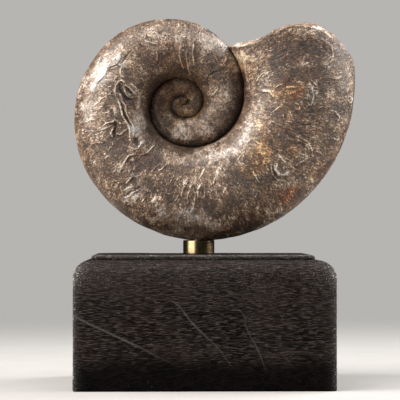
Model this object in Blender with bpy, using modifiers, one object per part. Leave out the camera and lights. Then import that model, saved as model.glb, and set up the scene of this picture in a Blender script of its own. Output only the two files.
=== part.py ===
"""A Lytoceras ammonite fossil pinned upright on a black wooden plinth.

Metres, +Z up, and the plinth's front faces -Y. The origin is the middle of the
plinth's underside. The shell's coiling axis runs along Y, through SHELL_CENTRE.
Angles round that axis are in degrees, anticlockwise as seen from the front.
"""

import math

import bmesh
import bpy
import numpy as np
from mathutils import Vector, noise

MM = 0.001
GAP = 0.3 * MM

# Plinth: a block with a rounded shoulder and a raised top panel
PLINTH_WIDTH = 98.0 * MM
PLINTH_DEPTH = 64.0 * MM
PLINTH_HEIGHT = 50.4 * MM
SHOULDER_RADIUS = 6.4 * MM
RIGHT_SHOULDER_WIDTH = 7.4 * MM
PANEL_RISE = 1.8 * MM
PANEL_EASING = 1.1 * MM
CORNER_EASING = 0.6 * MM
SHOULDER_SEGMENTS = 10
CORNER_SEGMENTS = 3

# Brass collar and the steel pin that it hides
COLLAR_X = -1.7 * MM
COLLAR_RADIUS = 6.1 * MM
COLLAR_CHAMFER = 0.25 * MM
COLLAR_SIDES = 64
PIN_RADIUS = 2.5 * MM
PIN_CHAMFER = 0.4 * MM
PIN_SIDES = 32
PIN_DEPTH_IN_PLINTH = 24.0 * MM
PIN_DEPTH_IN_FOSSIL = 17.0 * MM
HOLE_RADIUS = PIN_RADIUS + GAP

# Fossil: where its coiling axis is, and the spot ground flat for the collar
SHELL_CENTRE = Vector((-8.1, 0.0, 108.6)) * MM
SEAT_Z = 55.8 * MM
SEAT_CUTTER_SIZE = 30.0 * MM

# Distance from the coiling axis to the outside of the whorl, every quarter turn
# from the innermost chambers outwards
OUTER_RADII_MM = (2.5, 3.7, 4.4, 5.2, 8.3, 10.8, 13.0, 16.8, 24.0, 33.2, 41.7, 52.2, 66.8, 82.6)
FIRST_RADIUS_DEG = -720.0
RADIUS_STEP_DEG = 90.0
FULL_TURN = 360.0

# The strip of shell is lofted from columns round the coil and rows across a flank
COLUMNS_PER_TURN = 48
COLUMN_COUNT = 157
FLANK_ROWS = 10
KEEL_ROWS = 3
MOUTH_DEG = 411.6
FIRST_CHAMBER_DEG = 90.0
FIRST_CHAMBER_DEPTH = 0.4 * MM

# Cross-section of a whorl: nearly round, a little thinner than it is tall
WHORL_THICKNESS = 0.92
SECTION_ROUNDNESS = 0.94
SEAM_ANGLE = math.radians(157.0)

# Angle at which the broken mouth ends the shell, against the share of the way
# from the inner to the outer side of the whorl: along the front flank's edge, and
# from the middle of the broken face to its back
BREAK_SHARES = (0.0, 0.07, 0.18, 0.3, 0.5, 0.7, 0.8, 0.9, 1.0)
BREAK_FRONT_DEG = (411.6, 404.0, 398.7, 397.6, 394.8, 388.2, 382.2, 378.2, 373.4)
BREAK_REAR_DEG = (411.6, 409.4, 405.2, 400.8, 398.4, 393.8, 388.2, 382.2, 373.4)
BREAK_BLEND_DEG = 300.0
BREAK_ROUGHNESS = 1.2 * MM
BREAK_LUMP_SIZE = 8.0 * MM

COLLECTION_NAME = "mounted_ammonite"


def remove_everything():
    for thing in list(bpy.data.objects):
        bpy.data.objects.remove(thing)


def collection(name):
    made = bpy.data.collections.new(name)
    bpy.context.scene.collection.children.link(made)
    return made


def material(name, colour, roughness, metallic=0.0):
    made = bpy.data.materials.new(name)
    made.use_nodes = True
    shader = made.node_tree.nodes["Principled BSDF"]
    shader.inputs["Base Color"].default_value = (*colour, 1.0)
    shader.inputs["Roughness"].default_value = roughness
    shader.inputs["Metallic"].default_value = metallic
    made.diffuse_color = (*colour, 1.0)
    return made


def object_from(shape, name, home, centre=(0.0, 0.0, 0.0), finish=None):
    """Turns a bmesh, modelled round its own origin, into a named object at `centre`."""
    mesh = bpy.data.meshes.new(name)
    bmesh.ops.recalc_face_normals(shape, faces=shape.faces)
    shape.to_mesh(mesh)
    shape.free()
    made = bpy.data.objects.new(name, mesh)
    made.location = centre
    home.objects.link(made)
    if finish:
        mesh.materials.append(finish)
    return made


def combine(target, guide, operation):
    """Joins `guide` to `target`, or cuts it out, and keeps it as a wire guide."""
    step = target.modifiers.new(guide.name, "BOOLEAN")
    step.operation = operation
    step.object = guide
    guide.hide_render = True
    guide.display_type = "WIRE"


def smooth(thing, angle_deg):
    thing.data.shade_smooth()
    thing.data.set_sharp_from_angle(angle=math.radians(angle_deg))


# Growth of the coil


def outer_radius(degrees):
    """Distance from the coiling axis to the outside of the whorl, in metres.

    The logarithms of the measured radii are joined by a Catmull-Rom curve, because
    a coiled shell grows by a constant factor for each step of angle.
    """
    logs = [math.log(radius * MM) for radius in OUTER_RADII_MM]
    place = (degrees - FIRST_RADIUS_DEG) / RADIUS_STEP_DEG
    first = min(max(int(place), 0), len(logs) - 2)
    before = logs[first - 1] if first else 2 * logs[0] - logs[1]
    after = logs[first + 2] if first + 2 < len(logs) else 2 * logs[-1] - logs[-2]
    start, end = logs[first], logs[first + 1]
    t = place - first
    bend = 2 * before - 5 * start + 4 * end - after
    twist = 3 * (start - end) + after - before
    grown = start + 0.5 * t * (end - before + t * (bend + t * twist))
    return math.exp(grown) * first_chamber_swell(degrees)


def column_deg(index):
    """Angle round the coil of a column, before the broken mouth squeezes the last."""
    return MOUTH_DEG - (COLUMN_COUNT - index) * FULL_TURN / COLUMNS_PER_TURN


def first_chamber_swell(degrees):
    """Grows the coil from nothing to its measured size within the first chamber."""
    share = min(max((degrees - column_deg(0)) / FIRST_CHAMBER_DEG, 0.0), 1.0)
    return share * share * (3 - 2 * share)


def inner_edge(degrees):
    """Radius and half depth of the seam where the whorl meets the one inside it."""
    if degrees - FULL_TURN <= column_deg(0):
        return 0.0, FIRST_CHAMBER_DEPTH
    return section(degrees - FULL_TURN, SEAM_ANGLE)


def section(degrees, angle):
    """Radius and half depth of the whorl's surface.

    `angle` runs over a flank, from 0 at the seam with the whorl inside to pi at
    the keel on the outside.
    """
    seam_radius, seam_depth = inner_edge(degrees)
    outside = max(outer_radius(degrees), seam_radius)
    middle = (outside + seam_radius) / 2
    half = (outside - seam_radius) / 2
    across = math.cos(angle)
    radius = middle - half * math.copysign(abs(across) ** SECTION_ROUNDNESS, across)
    bulge = WHORL_THICKNESS * half * max(math.sin(angle), 0.0) ** SECTION_ROUNDNESS
    return radius, math.hypot(bulge, seam_depth * math.cos(angle / 2) ** 2)


# The broken mouth


def break_angle(share, across):
    """Angle at which the shell ends, `across` running from -1, front, to 1, back."""
    front = np.interp(share, BREAK_SHARES, BREAK_FRONT_DEG)
    rear = np.interp(share, BREAK_SHARES, BREAK_REAR_DEG)
    return float(rear + (front - rear) * min(across, 0.0) ** 2)


def pulled_back(degrees, angle, side):
    """Squeezes the last columns so that the last one lies on the broken edge."""
    if degrees <= BREAK_BLEND_DEG:
        return degrees
    end = break_angle((1 - math.cos(angle)) / 2, side)
    reach = (end - BREAK_BLEND_DEG) / (MOUTH_DEG - BREAK_BLEND_DEG)
    return BREAK_BLEND_DEG + (degrees - BREAK_BLEND_DEG) * reach


def on_coil(degrees, radius, y):
    """A point at a radius from the coiling axis, which is the fossil's own Y axis."""
    turn = math.radians(degrees)
    return Vector((radius * math.cos(turn), y, radius * math.sin(turn)))


def flank_point(degrees, angle, side):
    placed = pulled_back(degrees, angle, side)
    radius, depth = section(placed, angle)
    return on_coil(placed, radius, side * depth)


def break_point(angle, across):
    """A point inside the broken face, `across` running from -1, front, to 1, back."""
    share = (1 - math.cos(angle)) / 2
    degrees = break_angle(share, across)
    radius, depth = section(degrees, angle)
    point = on_coil(degrees, radius, across * depth)
    inward = (1 - across * across) * math.sin(angle)
    lump = min(noise.noise(point / BREAK_LUMP_SIZE), 0.0)
    turn = math.radians(degrees)
    along = Vector((-math.sin(turn), 0.0, math.cos(turn)))
    return point + along * BREAK_ROUGHNESS * lump * inward


# Lofting the shell


def flank_angles():
    """Section angles of a column's rows from its inner seam to its outer seam."""
    return [SEAM_ANGLE * row / FLANK_ROWS for row in range(1, FLANK_ROWS + 1)]


def keel_angles():
    """Section angles from the seam up to the keel, where the last whorl is bare."""
    step = (math.pi - SEAM_ANGLE) / KEEL_ROWS
    return [SEAM_ANGLE + step * row for row in range(1, KEEL_ROWS)]


def keel_line(shape):
    """Vertices along the keel of the last whorl, which both flanks share."""
    last_turn = range(COLUMN_COUNT - COLUMNS_PER_TURN, COLUMN_COUNT + 1)
    return [shape.verts.new(flank_point(column_deg(index), math.pi, 1)) for index in last_turn]


def shell_side(shape, side, keel):
    """Vertices of one side of the shell, one list for each column.

    Each column starts on the vertex where the column one turn before it ends its
    flank, so the seam is welded.
    """
    centre = shape.verts.new((0.0, side * FIRST_CHAMBER_DEPTH, 0.0))
    columns = [[centre] * (FLANK_ROWS + 1)]
    for index in range(1, COLUMN_COUNT + 1):
        bare = index - (COLUMN_COUNT - COLUMNS_PER_TURN)
        angles = flank_angles() + (keel_angles() if bare >= 0 else [])
        inside = columns[max(index - COLUMNS_PER_TURN, 0)][FLANK_ROWS]
        grown = [flank_point(column_deg(index), angle, side) for angle in angles]
        column = [inside] + [shape.verts.new(point) for point in grown]
        if bare >= 0:
            column.append(keel[bare])
        columns.append(column)
    return columns


def add_face(shape, corners):
    """Adds a face, leaving out repeated corners, as at the centre of the coil."""
    own = list(dict.fromkeys(corners))
    if len(own) > 2:
        shape.faces.new(own)


def skin(shape, lines):
    """Fills the space between neighbouring lines of vertices with faces."""
    for left, right in zip(lines, lines[1:]):
        for row in range(min(len(left), len(right)) - 1):
            add_face(shape, (left[row], right[row], right[row + 1], left[row + 1]))


def close_mouth(shape, front, back):
    """Fills the broken mouth with rows from the front flank's edge to the back's."""
    roof = COLUMN_COUNT - COLUMNS_PER_TURN
    rows = [front[roof][FLANK_ROWS:] + back[roof][FLANK_ROWS:-1][::-1]]
    steps = 2 * KEEL_ROWS
    for row, angle in enumerate(flank_angles() + keel_angles(), start=1):
        inside = [break_point(angle, 2 * step / steps - 1) for step in range(1, steps)]
        middle = [shape.verts.new(point) for point in inside]
        rows.append([front[-1][row], *middle, back[-1][row]])
    rows.append([front[-1][-1]] * (steps + 1))
    skin(shape, rows)


def ammonite(home, guides, finish):
    shape = bmesh.new()
    keel = keel_line(shape)
    front = shell_side(shape, -1, keel)
    back = shell_side(shape, 1, keel)
    skin(shape, front)
    skin(shape, back)
    close_mouth(shape, front, back)
    bmesh.ops.triangulate(shape, faces=shape.faces)
    fossil = object_from(shape, "ammonite", home, SHELL_CENTRE, finish)
    grind_and_drill(fossil, guides)
    smooth(fossil, 40.0)
    return fossil


def grind_and_drill(fossil, guides):
    """Grinds the flat spot under the fossil and drills it for the pin."""
    size = SEAT_CUTTER_SIZE
    flat = box("seat_grinder", guides, (size, size, size), (COLLAR_X, 0.0, SEAT_Z - size / 2))
    combine(fossil, flat, "DIFFERENCE")
    top = SEAT_Z + PIN_DEPTH_IN_FOSSIL + GAP
    combine(fossil, rod("fossil_hole", guides, HOLE_RADIUS, SEAT_Z - GAP, top), "DIFFERENCE")


# Turned and sawn pieces


def rod(name, home, radius, bottom, top, sides=PIN_SIDES, finish=None):
    """An upright cylinder on the collar's axis."""
    shape = bmesh.new()
    bmesh.ops.create_cone(
        shape, cap_ends=True, segments=sides, radius1=radius, radius2=radius, depth=top - bottom
    )
    return object_from(shape, name, home, (COLLAR_X, 0.0, (top + bottom) / 2), finish)


def box(name, home, size, centre):
    shape = bmesh.new()
    bmesh.ops.create_cube(shape, size=1.0)
    bmesh.ops.scale(shape, vec=size, verts=shape.verts)
    return object_from(shape, name, home, centre)


def ease(thing, width, segments):
    """Takes the sharpness off every edge of more than 60 degrees."""
    step = thing.modifiers.new("eased edges", "BEVEL")
    step.width = width
    step.segments = segments
    step.limit_method = "ANGLE"
    step.angle_limit = math.radians(60.0)


def round_edges(shape, chosen, width, segments):
    """Rounds the edges of a bmesh for which `chosen`, given both ends, is true."""
    edges = [edge for edge in shape.edges if chosen(*(vertex.co for vertex in edge.verts))]
    bmesh.ops.bevel(
        shape, geom=edges, offset=width, segments=segments, profile=0.5, affect="EDGES"
    )


def plinth_block(home, finish):
    """The sawn block: top edge rounded over, upright corners and foot eased."""
    height = PLINTH_HEIGHT - PANEL_RISE
    shape = bmesh.new()
    bmesh.ops.create_cube(shape, size=1.0)
    bmesh.ops.scale(shape, vec=(PLINTH_WIDTH, PLINTH_DEPTH, height), verts=shape.verts)
    bmesh.ops.translate(shape, vec=(0.0, 0.0, height / 2), verts=shape.verts)
    round_edges(shape, lambda a, b: min(a.z, b.z) > height - GAP, SHOULDER_RADIUS, SHOULDER_SEGMENTS)
    widen_right_shoulder(shape)
    round_edges(shape, lambda a, b: min(a.z, b.z) < GAP, CORNER_EASING, CORNER_SEGMENTS)
    return object_from(shape, "wooden_plinth", home, finish=finish)


def widen_right_shoulder(shape):
    """The right shoulder is routed a little further in than the other three."""
    right = PLINTH_WIDTH / 2
    for vertex in shape.verts:
        inset = right - vertex.co.x
        if inset < SHOULDER_RADIUS + GAP:
            vertex.co.x = right - inset * RIGHT_SHOULDER_WIDTH / SHOULDER_RADIUS


def plinth_panel(guides):
    """The raised panel on top, which the rounded shoulders leave standing."""
    left = SHOULDER_RADIUS - PLINTH_WIDTH / 2
    right = PLINTH_WIDTH / 2 - RIGHT_SHOULDER_WIDTH
    size = (right - left, PLINTH_DEPTH - 2 * SHOULDER_RADIUS, PANEL_RISE + SHOULDER_RADIUS)
    centre = ((left + right) / 2, 0.0, PLINTH_HEIGHT - size[2] / 2)
    panel = box("raised_panel", guides, size, centre)
    ease(panel, PANEL_EASING, CORNER_SEGMENTS)
    return panel


def plinth(home, guides, finish):
    block = plinth_block(home, finish)
    combine(block, plinth_panel(guides), "UNION")
    bottom = PLINTH_HEIGHT - PIN_DEPTH_IN_PLINTH - GAP
    combine(block, rod("plinth_hole", guides, HOLE_RADIUS, bottom, PLINTH_HEIGHT + GAP), "DIFFERENCE")
    smooth(block, 35.0)
    return block


def collar(home, guides, finish):
    bottom = PLINTH_HEIGHT + GAP
    top = SEAT_Z - GAP
    ring = rod("brass_collar", home, COLLAR_RADIUS, bottom, top, COLLAR_SIDES, finish)
    ease(ring, COLLAR_CHAMFER, 1)
    combine(ring, rod("collar_bore", guides, HOLE_RADIUS, bottom - GAP, top + GAP), "DIFFERENCE")
    smooth(ring, 30.0)
    return ring


def pin(home, finish):
    bottom = PLINTH_HEIGHT - PIN_DEPTH_IN_PLINTH
    top = SEAT_Z + PIN_DEPTH_IN_FOSSIL
    made = rod("steel_pin", home, PIN_RADIUS, bottom, top, finish=finish)
    ease(made, PIN_CHAMFER, 1)
    smooth(made, 30.0)
    return made


def main():
    remove_everything()
    home = collection(COLLECTION_NAME)
    guides = collection("cutters")
    stone = material("fossil limestone", (0.235, 0.185, 0.145), 0.5)
    wood = material("blackened wood", (0.028, 0.024, 0.022), 0.55)
    brass = material("turned brass", (0.62, 0.44, 0.20), 0.22, 1.0)
    steel = material("steel", (0.45, 0.44, 0.42), 0.35, 1.0)
    whole = bpy.data.objects.new(COLLECTION_NAME, None)
    home.objects.link(whole)
    pieces = (
        plinth(home, guides, wood),
        collar(home, guides, brass),
        pin(home, steel),
        ammonite(home, guides, stone),
    )
    for piece in pieces:
        piece.parent = whole


main()
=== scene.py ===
# %% [markdown]
# # A Lytoceras ammonite on a black wooden plinth
#
# The object has four pieces: a coiled shell turned to limestone, a short brass
# collar, the steel pin inside it, and a stained wooden block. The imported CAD
# model gives their sizes and places, and this notebook adds what the eye sees:
# the weathered stone with its flakes and stains, the turned brass and the open
# grain of the wood. Everything is in metres, +Z up, and the front faces -Y.

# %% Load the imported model
import math

import bmesh
import bpy
import numpy as np
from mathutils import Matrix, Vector, noise


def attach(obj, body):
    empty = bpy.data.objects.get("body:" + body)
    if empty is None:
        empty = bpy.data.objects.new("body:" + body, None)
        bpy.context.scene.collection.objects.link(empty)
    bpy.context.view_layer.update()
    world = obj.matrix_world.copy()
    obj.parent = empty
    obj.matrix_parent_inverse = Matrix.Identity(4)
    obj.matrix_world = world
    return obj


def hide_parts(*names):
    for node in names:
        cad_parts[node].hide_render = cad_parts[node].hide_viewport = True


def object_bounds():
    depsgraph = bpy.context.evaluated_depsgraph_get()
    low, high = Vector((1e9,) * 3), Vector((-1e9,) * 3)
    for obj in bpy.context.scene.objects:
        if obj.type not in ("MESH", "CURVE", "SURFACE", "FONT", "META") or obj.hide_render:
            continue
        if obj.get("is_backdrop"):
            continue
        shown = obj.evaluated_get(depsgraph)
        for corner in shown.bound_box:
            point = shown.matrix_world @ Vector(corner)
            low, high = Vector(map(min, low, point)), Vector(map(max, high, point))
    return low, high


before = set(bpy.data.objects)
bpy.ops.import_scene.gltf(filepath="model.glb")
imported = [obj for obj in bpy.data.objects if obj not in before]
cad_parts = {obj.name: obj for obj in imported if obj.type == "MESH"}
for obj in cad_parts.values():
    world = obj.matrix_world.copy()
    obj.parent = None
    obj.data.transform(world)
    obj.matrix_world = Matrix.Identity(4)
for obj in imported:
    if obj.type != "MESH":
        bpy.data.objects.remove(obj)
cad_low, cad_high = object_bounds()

MM = 0.001
print("CAD nodes:", sorted(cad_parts))

# %% [markdown]
# ## Camera
#
# The picture was taken with a long lens from just above the plinth's top, a
# little to the left of its middle. A camera object could be aimed by eye, but
# the four corners of the plinth and the outline of the coil fix it exactly, so
# its place and lens are written down as numbers.

# %% Make the camera
PICTURE_SIDE = 400
FOCAL_PIXELS = 1600.0
SENSOR_MM = 36.0
CAMERA_PLACE = (-0.0138, -0.625, 0.0617)
CAMERA_TURN_DEG = (90.895, 0.0, -1.153)

lens = bpy.data.cameras.new("camera")
lens.sensor_width = SENSOR_MM
lens.lens = SENSOR_MM * FOCAL_PIXELS / PICTURE_SIDE
lens.clip_start = 0.05
camera = bpy.data.objects.new("camera", lens)
camera.location = CAMERA_PLACE
camera.rotation_euler = [math.radians(turn) for turn in CAMERA_TURN_DEG]
bpy.context.scene.collection.objects.link(camera)
bpy.context.scene.camera = camera
bpy.context.view_layer.update()
print(f"lens {lens.lens:.0f} mm, {-camera.location.y / MM:.0f} mm in front of the object")

# %% Find the picture place of a point
def picture_place(points):
    """Where points of the object, one a row, are seen in the picture, in pixels."""
    turned = np.array(camera.matrix_world.inverted())
    seen = points @ turned[:3, :3].T + turned[:3, 3]
    return PICTURE_SIDE / 2 - FOCAL_PIXELS * seen[:, :2] / seen[:, 2:] * np.array((1.0, -1.0))


# %% [markdown]
# ## Floor and light
#
# A pale floor that fades into an even pale surround keeps the eye on the object.
# One large soft lamp stands close by on the left, because the upper left limb of
# the coil is the brightest. A low one on the same side draws the bright line
# down the brass, a weaker one opens the shadows on the right, and one behind
# lifts the rim. The lamps do the lighting: the surround is bright only where the
# camera looks straight at it.

# %% Write down how nodes are added
def set_inputs(tree, node, inputs):
    """Gives each input its value, or joins it to the output socket of another node."""
    for socket, value in inputs.items():
        if isinstance(value, bpy.types.NodeSocket):
            tree.links.new(value, node.inputs[socket])
        else:
            node.inputs[socket].default_value = value


def add_node(tree, kind, inputs=(), **settings):
    made = tree.nodes.new("ShaderNode" + kind)
    for name, value in settings.items():
        setattr(made, name, value)
    set_inputs(tree, made, dict(inputs))
    return made


def vector_maths(tree, operation, first, second=(0.0, 0.0, 0.0), scale=1.0):
    made = add_node(tree, "VectorMath", {0: first, 1: second, 3: scale}, operation=operation)
    return made.outputs["Value" if operation == "LENGTH" else "Vector"]


def new_material(name):
    """A material, its nodes, its shader, and the place on the piece that wears it."""
    made = bpy.data.materials.new(name)
    made.use_nodes = True
    tree = made.node_tree
    return made, tree, tree.nodes["Principled BSDF"], add_node(tree, "TexCoord").outputs["Object"]


def mixed(tree, share, first, second, blend="MIX"):
    """Mixes two colours."""
    colours = {0: share, 6: first, 7: second}
    return add_node(tree, "Mix", colours, data_type="RGBA", blend_type=blend).outputs[2]


def shaded(tree, value, shades):
    """Turns a value into a colour, along shades that are each (position, colour)."""
    made = add_node(tree, "ValToRGB", {0: value})
    elements = made.color_ramp.elements
    while len(elements) < len(shades):
        elements.new(0.5)
    for element, (position, colour) in zip(elements, shades):
        element.position = position
        element.color = colour
    return made.outputs[0]


# %% Lay the floor
SURROUND = (0.47, 0.46, 0.445, 1)
PAPER_SHADES = ((0.0, (0.37, 0.36, 0.345, 1)), (1.0, (0.42, 0.41, 0.395, 1)))
PAPER_IN_REFLECTIONS = (0.42, 0.38, 0.34, 1)
FADE_FROM = 0.07
FADE_TO = 0.50

paper, tree, near_paper, place = new_material("pale_paper")
pulp = add_node(tree, "TexNoise", {"Scale": 900.0, "Detail": 4.0}).outputs["Fac"]
looking = add_node(tree, "LightPath").outputs["Is Camera Ray"]
paper_colour = mixed(tree, looking, PAPER_IN_REFLECTIONS, shaded(tree, pulp, PAPER_SHADES))
set_inputs(tree, near_paper, {"Base Color": paper_colour, "Roughness": 0.85})
far_paper = add_node(tree, "Emission", {"Color": SURROUND, "Strength": looking})
fade_range = {0: vector_maths(tree, "LENGTH", place), 1: FADE_FROM, 2: FADE_TO}
fade = add_node(tree, "MapRange", fade_range, interpolation_type="SMOOTHSTEP").outputs[0]
faded = add_node(tree, "MixShader", {0: fade, 1: near_paper.outputs[0], 2: far_paper.outputs[0]})
set_inputs(tree, tree.nodes["Material Output"], {"Surface": faded.outputs[0]})

sheet = bmesh.new()
bmesh.ops.create_grid(sheet, x_segments=8, y_segments=8, size=9.0)
floor_mesh = bpy.data.meshes.new("floor")
sheet.to_mesh(floor_mesh)
sheet.free()
floor_mesh.materials.append(paper)
floor = bpy.data.objects.new("floor", floor_mesh)
bpy.context.scene.collection.objects.link(floor)
floor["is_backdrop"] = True

# %% Set the surround and the lamps
LAMP_AIM = Vector((0.0, 0.0, 0.09))
LAMP_DISTANCE = 0.6
# Name, azimuth from the camera's side and elevation in degrees, width, height, watts, colour
LAMPS = (
    ("key", -80, 42, 0.34, 0.34, 5.0, (1.0, 0.97, 0.94)),
    ("low_left", -58, 12, 0.60, 0.44, 3.8, (1.0, 0.965, 0.93)),
    ("high_left", -42, 66, 0.30, 0.30, 2.2, (1.0, 0.98, 0.96)),
    ("high_right", 40, 58, 0.30, 0.30, 1.3, (1.0, 0.98, 0.97)),
    ("low_right", 92, 20, 0.34, 0.30, 4.2, (1.0, 0.95, 0.90)),
    ("behind", 122, 36, 0.30, 0.30, 2.8, (0.96, 0.98, 1.0)),
)
world = bpy.data.worlds.new("studio")
world.use_nodes = True
bpy.context.scene.world = world
bpy.context.scene.view_settings.view_transform = "Standard"
tree = world.node_tree
looking = add_node(tree, "LightPath").outputs["Is Camera Ray"]
brightness = add_node(tree, "MapRange", {0: looking, 3: 0.09, 4: 1.0})
set_inputs(tree, tree.nodes["Background"], {"Color": SURROUND, "Strength": brightness.outputs[0]})
for name, azimuth, elevation, width, tall, watts, colour in LAMPS:
    light = bpy.data.lights.new(name, "AREA")
    light.shape = "RECTANGLE"
    light.size = width
    light.size_y = tall
    light.energy = watts
    light.color = colour
    turn, rise = math.radians(azimuth), math.radians(elevation)
    away = Vector((math.sin(turn) * math.cos(rise), -math.cos(turn) * math.cos(rise), math.sin(rise)))
    lamp = bpy.data.objects.new(name, light)
    lamp.location = LAMP_AIM + away * LAMP_DISTANCE
    lamp.rotation_euler = away.to_track_quat("Z", "Y").to_euler()
    lamp.visible_camera = False
    bpy.context.scene.collection.objects.link(lamp)
print("lamps:", [row[0] for row in LAMPS])

# %% [markdown]
# ## The coil
#
# A shell of this kind grows round one axis by a constant factor for each step of
# angle. It could be modelled by sweeping a circle with modifiers, but whorls
# swept that way pass through each other. Here the surface is one strip, lofted
# column by column: each column starts on the line where the whorl one turn
# before it ends, so the seam is welded and the whole fossil is one closed skin.
# The strip gets twice as many columns and rows with each turn outwards, because
# the whorl does grow.

# %% Describe how the coil grows
COIL_CENTRE = np.array((-8.1, 0.0, 108.6)) * MM
OUTER_RADII_MM = (2.5, 3.7, 4.4, 5.2, 8.3, 10.8, 13.0, 16.8, 24.0, 33.2, 41.7, 52.2, 66.8, 82.6)
FIRST_RADIUS_DEG = -720.0
RADIUS_STEP_DEG = 90.0
START_DEG = -765.9
MOUTH_DEG = 411.6
FIRST_CHAMBER_DEG = 90.0
FIRST_CHAMBER_DEPTH = 0.4 * MM
WHORL_THICKNESS = 0.92
SECTION_ROUNDNESS = 0.94
SEAM_ANGLE = math.radians(157.0)


def smooth_curve(before, start, end, after, t):
    """Runs from start to end as t goes from 0 to 1, in line with the points on either side."""
    bend = 2 * before - 5 * start + 4 * end - after
    twist = 3 * (start - end) + after - before
    return start + 0.5 * t * (end - before + t * (bend + t * twist))


def outer_radius(degrees):
    """Distance from the coiling axis to the outside of the whorl."""
    logs = np.log(np.array(OUTER_RADII_MM) * MM)
    logs = np.concatenate(([2 * logs[0] - logs[1]], logs, [2 * logs[-1] - logs[-2]]))
    at = (degrees - FIRST_RADIUS_DEG) / RADIUS_STEP_DEG
    first = np.clip(np.trunc(at).astype(int), 0, len(OUTER_RADII_MM) - 2)
    grown = smooth_curve(*(logs[first + step] for step in range(4)), at - first)
    share = np.clip((degrees - START_DEG) / FIRST_CHAMBER_DEG, 0.0, 1.0)
    return np.exp(grown) * share * share * (3 - 2 * share)


def seam_inside(degrees):
    """Radius and half depth of the seam where a whorl meets the one inside it."""
    inside = degrees - 360.0
    started = inside > START_DEG
    if not np.any(started):
        return np.zeros_like(degrees), np.full_like(degrees, FIRST_CHAMBER_DEPTH)
    radius, depth = section(np.maximum(inside, START_DEG), SEAM_ANGLE)
    return np.where(started, radius, 0.0), np.where(started, depth, FIRST_CHAMBER_DEPTH)


def section(degrees, angle):
    """Radius and half depth of the skin; angle runs from 0 at the inner seam to pi at the keel."""
    seam_radius, seam_depth = seam_inside(degrees)
    outside = np.maximum(outer_radius(degrees), seam_radius)
    middle = (outside + seam_radius) / 2
    half = (outside - seam_radius) / 2
    across = np.cos(angle)
    radius = middle - half * np.copysign(np.abs(across) ** SECTION_ROUNDNESS, across)
    bulge = WHORL_THICKNESS * half * np.maximum(np.sin(angle), 0.0) ** SECTION_ROUNDNESS
    return radius, np.hypot(bulge, seam_depth * np.cos(angle / 2) ** 2)


for degrees in (-360.0, 0.0, 180.0, 360.0):
    print(f"{degrees:5.0f} degrees: outside at {outer_radius(np.array([degrees]))[0] / MM:.1f} mm")

# %% [markdown]
# ### The broken mouth
#
# The living chamber is broken off: the edge runs back in steps from the inner
# side of the whorl to the keel, and further back on the front flank than on the
# hidden one. Cutting the mouth with a Boolean would leave a flat slice. Instead
# the last columns are squeezed until they end on the broken edge.

# %% Say where the shell ends
# Each row: share of the way from inner seam to keel, degrees at the front, degrees behind
BREAK_EDGE = (
    (0.0, 411.6, 411.6), (0.07, 404.0, 409.4), (0.18, 398.7, 404.9), (0.24, 398.1, 402.2),
    (0.3, 397.6, 399.9), (0.4, 396.2, 399.4), (0.5, 394.8, 397.5), (0.6, 391.5, 395.1),
    (0.7, 388.2, 392.7), (0.75, 385.6, 390.9), (0.785, 383.6, 389.4), (0.795, 382.2, 387.6),
    (0.82, 381.8, 386.6), (0.855, 380.6, 385.6), (0.865, 379.4, 383.8), (0.9, 378.2, 382.0),
    (0.95, 376.2, 378.2), (1.0, 373.4, 373.4),
)
BREAK_SHARES, BREAK_FRONT_DEG, BREAK_REAR_DEG = zip(*BREAK_EDGE)
BREAK_BLEND_DEG = 300.0


def break_angle(share, across):
    """Angle at which the shell ends; across runs from -1 at the front to 1 at the back."""
    front = np.interp(share, BREAK_SHARES, BREAK_FRONT_DEG)
    rear = np.interp(share, BREAK_SHARES, BREAK_REAR_DEG)
    return rear + (front - rear) * np.minimum(across, 0.0) ** 2


def on_coil(degrees, radius, y):
    turn = np.radians(degrees)
    return np.stack([radius * np.cos(turn), y, radius * np.sin(turn)], axis=-1)


def flank_points(degrees, angles, side):
    """Points of one column on one flank; side is -1 at the front and 1 at the back."""
    placed = np.full_like(angles, degrees)
    if degrees > BREAK_BLEND_DEG:
        end = break_angle((1 - np.cos(angles)) / 2, side)
        reach = (end - BREAK_BLEND_DEG) / (MOUTH_DEG - BREAK_BLEND_DEG)
        placed = BREAK_BLEND_DEG + (degrees - BREAK_BLEND_DEG) * reach
    radius, depth = section(placed, angles)
    return on_coil(placed, radius, side * depth)


# %% Loft the skin of the fossil
LAST_TURN_DEG = MOUTH_DEG - 360.0
LAST_TURN_COLUMNS = 432
CROWDING_TO_MOUTH = 0.3
# Rows across a flank, by the number of turns inwards from the last
TURN_ROWS = {3: 9, 2: 18, 1: 36, 0: 72}
KEEL_ROWS = 12
AT_SEAM = np.array([SEAM_ANGLE])
SLACK_DEG = 0.001
NO_SEAM_NEAR = 0.1

vertices = [(0.0, -FIRST_CHAMBER_DEPTH, 0.0), (0.0, FIRST_CHAMBER_DEPTH, 0.0)]
seam_gap = [0.0, 0.0]
outer_gap = [0.0, 0.0]
faces = []


def add_points(points, gaps, outer_gaps=None):
    """Adds vertices with their distance from the nearest and the outer seam; gives their numbers."""
    first = len(vertices)
    vertices.extend(map(tuple, points))
    seam_gap.extend(gaps)
    outer_gap.extend(gaps if outer_gaps is None else outer_gaps)
    return list(range(first, len(vertices)))


def add_face(corners):
    own = list(dict.fromkeys(corners))
    if len(own) > 2:
        faces.append(own)


def column_angles():
    """(degrees, rows across the flank) of every column after the first, inside outwards."""
    share = np.arange(LAST_TURN_COLUMNS + 1) / LAST_TURN_COLUMNS
    last = LAST_TURN_DEG + 360.0 * (share * (1 + CROWDING_TO_MOUTH * (1 - share)))
    for turns_back, rows in TURN_ROWS.items():
        turn = last[:: 2**turns_back] - 360.0 * turns_back
        turn = turn if turns_back == 0 else turn[:-1]
        yield from ((float(degrees), rows) for degrees in turn if degrees > START_DEG)


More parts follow.
